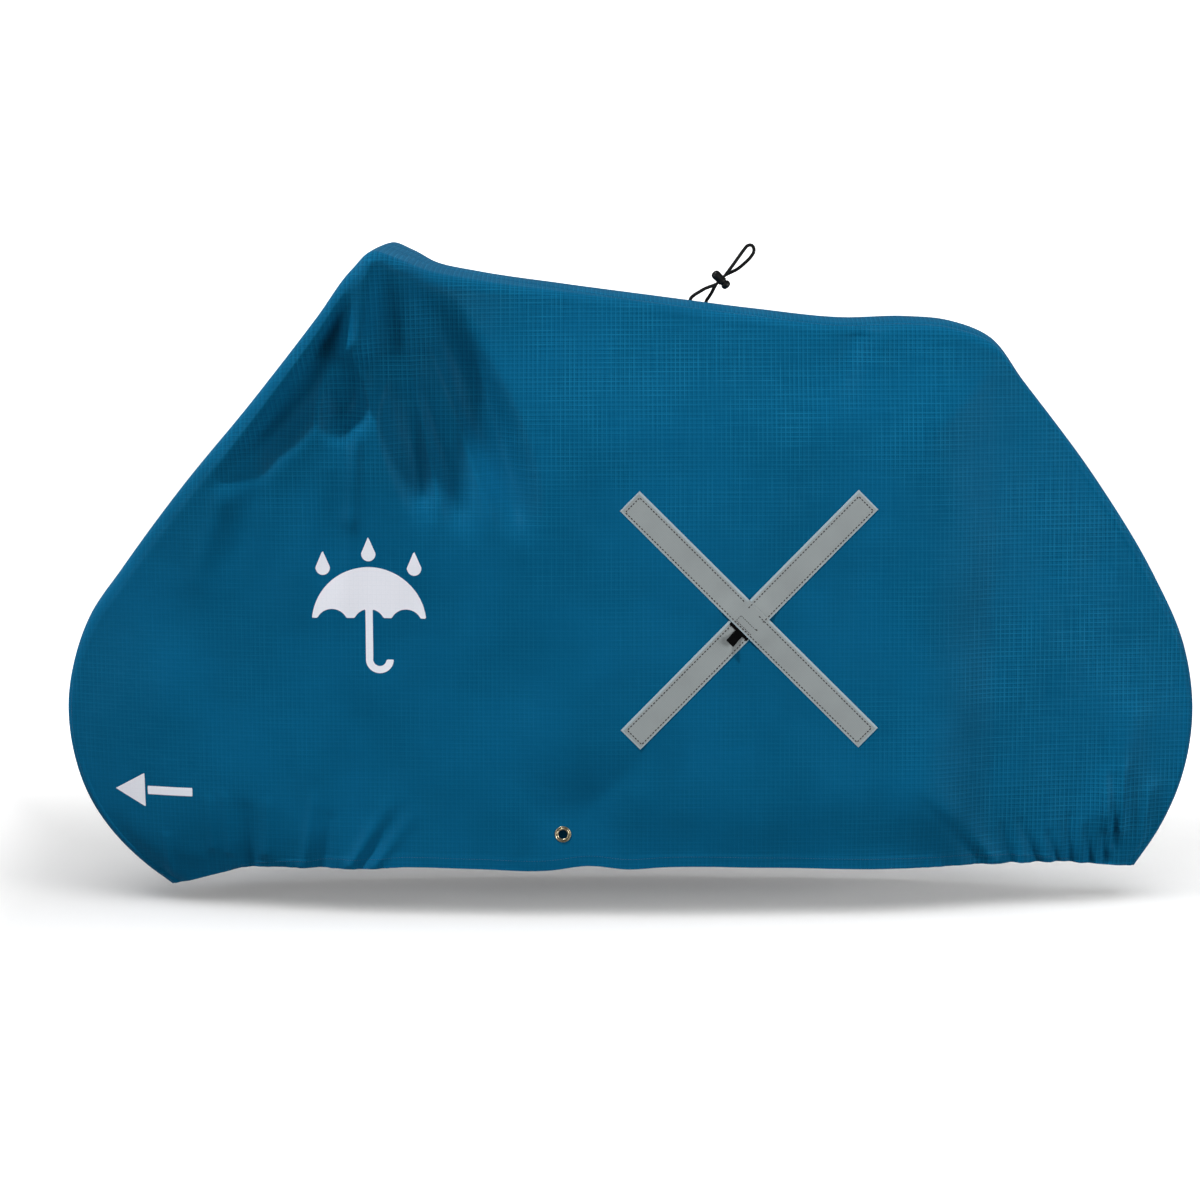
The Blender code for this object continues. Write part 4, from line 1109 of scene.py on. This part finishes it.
ROWS_BESIDE = 30  # more rows than any line of stitching lies from its edge


def beside(points, normals, row, inward, distance):
    """A line on the cloth at a distance from one of its rows, with its normals."""
    line, ups = [], []
    for column, column_normals in zip(points, normals):
        order = column[row::inward][:ROWS_BESIDE]
        length = lengths_along(order)
        line.append([np.interp(distance, length, axis) for axis in order.T])
        order = column_normals[row::inward][:ROWS_BESIDE]
        ups.append([np.interp(distance, length, axis) for axis in order.T])
    return np.array(line), np.array(ups)


# The tape cross, the pull tab and the eyelet


def flat_frame(flat, turn=0.0):
    """A frame on a flat part of the near side: local Z points out of the cloth."""
    along = Vector((1, -flat.grow_x, 0)).normalized()
    up = Vector((0, -flat.grow_height, 1))
    out = along.cross(up).normalized()
    up = out.cross(along)
    origin = Vector((flat.x, -flat.out, flat.height - HELD_HEIGHT))
    axes = Matrix((along, up, out)).transposed().to_4x4()
    return Matrix.Translation(origin) @ axes @ Matrix.Rotation(turn, 4, "Z")


def in_frame(frame, points):
    matrix = np.array(frame)
    return np.asarray(points, float) @ matrix[:3, :3].T + matrix[:3, 3]


SOFT = 0.0005  # how far in the tapes' edges are rounded


def tape_stops(start, end, first, final, count):
    """Stops along or across a tape, close together at its edges and at the edges of its
    pale painted highlight.
    """
    stops = [start, start + SOFT]
    if first:
        stops += [start + first - SOFT, start + first]
    stops += list(np.linspace(start + first + SOFT, end - final - SOFT, count))
    if final:
        stops += [end - final, end - final + SOFT]
    return np.array(sorted([*stops, end - SOFT, end]))


def tape_mesh(name, frame, start, end, lift, highlight_rims, merged):
    """A strip of tape from start to end along the frame's X. Its rims are the widths of
    the pale painted highlight along its edges: below, above, at the start and at the end.
    merged is the stretch where its upper edge runs on into another tape and so shows no
    pale painted highlight."""
    half = TAPE_WIDTH / 2
    below, above, first, final = highlight_rims
    b = tape_stops(-half, half, below, above, 8)
    a = tape_stops(start, end, first, final, 90)
    grid_a, grid_b = np.meshgrid(a, b, indexing="ij")
    # the pale painted highlight: along the edges, except where the upper edge is merged
    in_highlight = (grid_b < -half + below - SOFT / 2) | (grid_b > half - above + SOFT / 2)
    in_highlight &= ~((grid_b > 0) & (grid_a > merged[0]) & (grid_a < merged[1]))
    in_highlight |= (grid_a < start + first - SOFT / 2) | (grid_a > end - final + SOFT / 2)
    edge = np.minimum(half - abs(grid_b), np.minimum(grid_a - start, end - grid_a))
    raised = lift(grid_a)
    top = raised + TAPE * (0.75 + 0.25 * ease(edge, 0, SOFT))
    outer, inner = (np.stack([grid_a, grid_b, level], axis=2) for level in (top, raised))
    cells = grid_faces(len(a), len(b)).reshape(-1, 4)[:, ::-1]
    front, back = in_frame(frame, outer), in_frame(frame, inner)
    mesh = sheet_mesh(name, front, back, cells, outer[:, :, :2], 60)
    # the rim attribute carries the pale painted highlight to the material
    rim = mesh.attributes.new("rim", "FLOAT", "POINT")
    rim.data.foreach_set("value", np.tile(in_highlight.ravel(), 2).astype(np.float32))
    return mesh


def straight_run(frame, start, end, lift):
    """A straight run of stitching in a frame, over a height for each point."""
    steps = max(int(np.linalg.norm(np.subtract(end, start)) / 0.004), 2)
    line = np.linspace(start, end, steps)
    heights = lift(line[:, 0]) + TAPE
    path = in_frame(frame, np.column_stack([line, heights]))
    out = np.array(frame.to_3x3().col[2])
    return path, np.tile(out, (len(path), 1))


def build_cross(tape, web, dark_thread):
    """The long tape over two short ones, their stitching and the pull tab."""
    half = TAPE_WIDTH / 2
    layer = TAPE_LIFT + TAPE
    long_frame = flat_frame(TAPE_FLAT, math.radians(-45))
    short_frame = flat_frame(TAPE_FLAT, math.radians(45))

    def over_crossing(along):
        return TAPE_LIFT + 2 * layer * (1 - ease(abs(along), *RAMP))

    def on_cloth(along):
        return TAPE_LIFT + 0 * along

    def up_to_crossing(along):
        return TAPE_LIFT + 2 * layer * (1 - ease(along - half, 0.0, 0.030))

    made = []
    # each tape: name, solid, frame, ends, lift, widths of its pale painted highlight, merged
    # stretch
    for name, node, frame, start, end, lift, highlight_rims, merged in (
        ("tape_long_strip", "tape_long", long_frame, -ARM, ARM, over_crossing,
         (NARROW_HIGHLIGHT, WIDE_HIGHLIGHT, 0.0026, 0.0026), (-half, half)),
        ("tape_upper_strip", "tape_upper", short_frame, half + 0.0001, ARM, up_to_crossing,
         (NARROW_HIGHLIGHT, WIDE_HIGHLIGHT, 0, 0.0030), (0, 0)),
        ("tape_lower_strip", "tape_lower", short_frame, -ARM, -HIDDEN, on_cloth,
         (NARROW_HIGHLIGHT, WIDE_HIGHLIGHT, 0.0026, 0), (0, 0)),
    ):
        mesh = tape_mesh(name, frame, start, end, lift, highlight_rims, merged)
        made.append(claim(add_object(name, mesh, tape), "reflective_tape", node))

    low, high = -half + NARROW_MARGIN, half - WIDE_MARGIN
    edge = ARM - WIDE_MARGIN

    def runs(frame, lift, *ends):
        return [straight_run(frame, a, b, lift) for a, b in ends]

    seams = runs(
        long_frame, over_crossing,
        ((-edge, low), (edge, low)),
        ((-edge, high), (-half - 0.004, high)),
        ((high - 0.010, high), (edge, high)),
        ((-edge, high), (-edge, low)),
        ((edge, high), (edge, low)),
    )
    seams += runs(
        short_frame, up_to_crossing,
        ((half + 0.001, low), (edge, low)),
        ((half + 0.001, high), (edge, high)),
    )
    seams += runs(
        short_frame, on_cloth,
        ((edge, high), (edge, low)),
        ((-edge, low), (-half - 0.003, low)),
        ((-edge, high), (-half - 0.003, high)),
        ((-edge, high), (-edge, low)),
    )
    seams += runs(
        short_frame, lambda along: over_crossing(0 * along),
        ((half - 0.012, low), (half, low)),
        ((half - 0.012, high), (half, high)),
    )
    left, right, bottom, top = -0.0158, 0.0200, -0.0165, -0.0050
    corners = [(right, top), (left, top), (left, bottom), (right, bottom)]
    tacks = runs(long_frame, over_crossing, *zip(corners, corners[1:]))
    knot = runs(long_frame, over_crossing, ((right - 0.002, top), (right + 0.003, top + 0.0022)))
    for name, lines, length, width, pitch in (
        ("tape_stitching", seams, 0.0040, 0.0022, 0.0062),
        ("tack_stitching", tacks, 0.0025, 0.0014, 0.0040),
        ("tack_knot", knot, 0.0038, 0.0026, 0.0050),
    ):
        mesh = stitch_mesh(name, lines, length, width, 0.0004, pitch)
        made.append(claim(add_object(name, mesh, dark_thread), "reflective_tape"))
    made.append(build_tab(web, long_frame, TAPE_LIFT + layer))
    return made


TAB = 0.0010  # thickness
TAB_SIDES = (-0.0050, 0.0115)
TAB_REACH = 0.0527
TAB_ROOT = (-0.0195, 0.0220)
TAB_ROOT_REACH = 0.0290
TAB_ROOT_STEPS = 9
TAB_RAISE = 0.0130  # how far the free end of the tab stands off the tape


def build_tab(web, frame, lift):
    """The webbing tab: a wide root under the long tape and a free end that lifts."""
    root = np.linspace(0.012, TAB_ROOT_REACH, TAB_ROOT_STEPS + 1)
    reach = np.concatenate([root, np.linspace(TAB_ROOT_REACH, TAB_REACH, 18)[1:]])
    across = np.array([TAB_ROOT[0], *np.linspace(*TAB_SIDES, 9), TAB_ROOT[1]])
    grid_r, grid_a = np.meshgrid(reach, across, indexing="ij")
    rise = lift + TAB_RAISE * ease(grid_r, TAB_ROOT_REACH - 0.001, TAB_REACH + 0.012) ** 1.2
    points = np.stack([grid_a, -grid_r, rise], axis=2)
    keep = np.ones((len(reach) - 1, len(across) - 1), bool)
    keep[TAB_ROOT_STEPS:, [0, -1]] = False
    cells = grid_faces(*points.shape[:2])[keep]
    front, back = in_frame(frame, points + (0, 0, TAB)), in_frame(frame, points)
    mesh = sheet_mesh("webbing_tab", front, back, cells, points[:, :, :2], 50)
    bm = bmesh.new()
    bm.from_mesh(mesh)
    mesh = faced_out(bm, mesh, 50)
    return claim(add_object("webbing_tab", mesh, web), "webbing", "pull_tab")


def build_eyelet(material):
    """The eyelet: a rolled inner ring, a groove and a domed outer rim."""

    def arc(middle, up, radius, degrees):
        return [
            (middle + radius * math.cos(a), up + radius * math.sin(a)) for a in np.radians(degrees)
        ]

    outline = [
        (0.0140, 0.0003), (0.01405, 0.0007),
        *arc(0.0131, 0.0007, 0.0009, [20, 50, 80, 110, 140]),
        (0.0118, 0.0007), (0.0114, 0.0006), (0.0110, 0.0009),
        *arc(0.0094, 0.0009, 0.0016, np.arange(15, 181, 15)),
        (0.0078, 0.0002), (0.0078, -0.0022), (0.0079, -0.0027), (0.0082, -0.0031),
        (0.0096, -0.0034), (0.0120, -0.0032), (0.0124, -0.0023), (0.0086, -0.0023),
        (0.0086, 0.0003),
    ]
    ring = add_object("eyelet_ring", turned_mesh("eyelet_ring", outline, 96, 60), material)
    ring.matrix_world = flat_frame(EYELET_FLAT)
    return claim(ring, "eyelet_brass", "eyelet")


# The print: plain signs, each as a signed distance that is negative inside


def disc(x, y, middle_x, middle_y, radius):
    return np.hypot(x - middle_x, y - middle_y) - radius


def bar(x, y, middle_x, middle_y, half_x, half_y):
    return np.maximum(abs(x - middle_x) - half_x, abs(y - middle_y) - half_y)


def drop(x, y, middle_x, middle_y, radius):
    """A drop: a disc that runs up to a point."""
    up = y - middle_y
    cone = (abs(x - middle_x) * 0.92 + up * 0.39) - radius * 0.99
    return np.minimum(disc(x, y, middle_x, middle_y, radius), np.maximum(cone, -up))


def arrow(x, y):
    """A triangle that points to the front, and a plain bar behind it."""
    triangle = np.maximum(abs(y) * 0.866 - (x - ARROW_TIP) * 0.5, x - ARROW_BASE)
    return np.minimum(triangle, bar(x, y, ARROW_BASE + 0.045, 0.0, 0.040, 0.0075))


def umbrella(x, y):
    """An open umbrella under three drops."""
    canopy = np.maximum(disc(x, y, 0, -0.010, 0.098), -y)
    for middle in (-0.0635, 0.0, 0.0635):
        canopy = np.maximum(canopy, -disc(x, y, middle, -0.012, 0.0275))
    handle = bar(x, y, 0, -0.020, 0.0062, 0.052)
    hook = abs(disc(x, y, 0.0175, -0.072, 0.0175)) - 0.0062
    hook = np.maximum(hook, y + 0.072)
    shape = np.minimum(np.minimum(canopy, handle), hook)
    for middle_x, middle_y in ((-0.078, 0.086), (0.0, 0.110), (0.078, 0.086)):
        shape = np.minimum(shape, drop(x, y, middle_x, middle_y, 0.0120))
    return shape


ARROW_TIP, ARROW_BASE = -0.0265, 0.0265
Print = namedtuple("Print", "name shape x height half_x half_height cell")
PRINTS = [
    Print("print_umbrella", umbrella, -0.022, 0.520, 0.106, 0.145, 0.0024),
    Print("print_arrow", arrow, -0.4455, 0.2085, 0.120, 0.036, 0.0018),
]
INK, INK_BACK = 0.0004, 0.3  # how far it stands off the cloth, and its back's share of it


def clipped_cells(shape, half_x, half_height, cell):
    """Polygons that fill the inside of a shape, cell by cell along its outline."""
    xs = np.arange(-half_x, half_x + cell, cell)
    ys = np.arange(-half_height, half_height + cell, cell)
    grid_x, grid_y = np.meshgrid(xs, ys, indexing="ij")
    values = shape(grid_x, grid_y)
    points, places, polygons = [], {}, []

    def point(x, y):
        key = (round(x, 6), round(y, 6))
        if key not in places:
            places[key] = len(points)
            points.append(key)
        return places[key]

    for i in range(len(xs) - 1):
        for j in range(len(ys) - 1):
            ring = [(i, j), (i + 1, j), (i + 1, j + 1), (i, j + 1)]
            inside = [values[c] < 0 for c in ring]
            if not any(inside):
                continue
            polygon = []
            for k in range(4):
                c, d = ring[k], ring[(k + 1) % 4]
                if inside[k]:
                    polygon.append(point(xs[c[0]], ys[c[1]]))
                if inside[k] != inside[(k + 1) % 4]:
                    t = values[c] / (values[c] - values[d])
                    x = xs[c[0]] + t * (xs[d[0]] - xs[c[0]])
                    y = ys[c[1]] + t * (ys[d[1]] - ys[c[1]])
                    polygon.append(point(x, y))
            polygon = list(dict.fromkeys(polygon))
            if len(polygon) > 2:
                polygons.append(polygon)
    return points, polygons


def build_prints(near_panel, material):
    """Each print as a thin skin of ink that follows the cloth."""
    tree = BVHTree.FromObject(near_panel, bpy.context.evaluated_depsgraph_get())
    made = []
    for sign in PRINTS:
        flat, polygons = clipped_cells(sign.shape, sign.half_x, sign.half_height, sign.cell)
        front, back = [], []
        for x, y in flat:
            start = Vector((sign.x + x, -1.0, sign.height + y - HELD_HEIGHT))
            spot, normal, _, _ = tree.ray_cast(start, Vector((0, 1, 0)))
            out = normal if normal.y < 0 else -normal
            front.append(spot + INK * out)
            back.append(spot + INK_BACK * INK * out)
        count = len(flat)
        faces = [*polygons, *([i + count for i in p[::-1]] for p in polygons)]
        edges = {(p[i], p[(i + 1) % len(p)]) for p in polygons for i in range(len(p))}
        faces += [(b, a, a + count, b + count) for a, b in sorted(edges) if (b, a) not in edges]
        uvs = [(sign.x + x, sign.height + y) for x, y in flat] * 2
        mesh = mesh_of(sign.name, front + back, faces, uvs, sharp=70)
        made.append(claim(add_object(sign.name, mesh, material), "reflective_tape"))
    return made


def main():
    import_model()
    add_camera()
    cord, path = build_cord(braided_cord())
    barrel, button = build_lock(lock_plastic())
    cloth = ripstop()
    blue_thread = thread("Blue thread", (0.004, 0.10, 0.21, 1), (0.002, 0.06, 0.13, 1))
    near, far, gusset, seam_thread, hem_thread = build_cloth(cloth, blue_thread)
    dark_thread = thread("Dark thread", (0.012, 0.007, 0.008, 1), (0.004, 0.003, 0.004, 1))
    cross = build_cross(reflective_tape(), webbing(), dark_thread)
    eyelet = build_eyelet(aged_brass())
    prints = build_prints(near, print_ink())
    add_studio()


main()
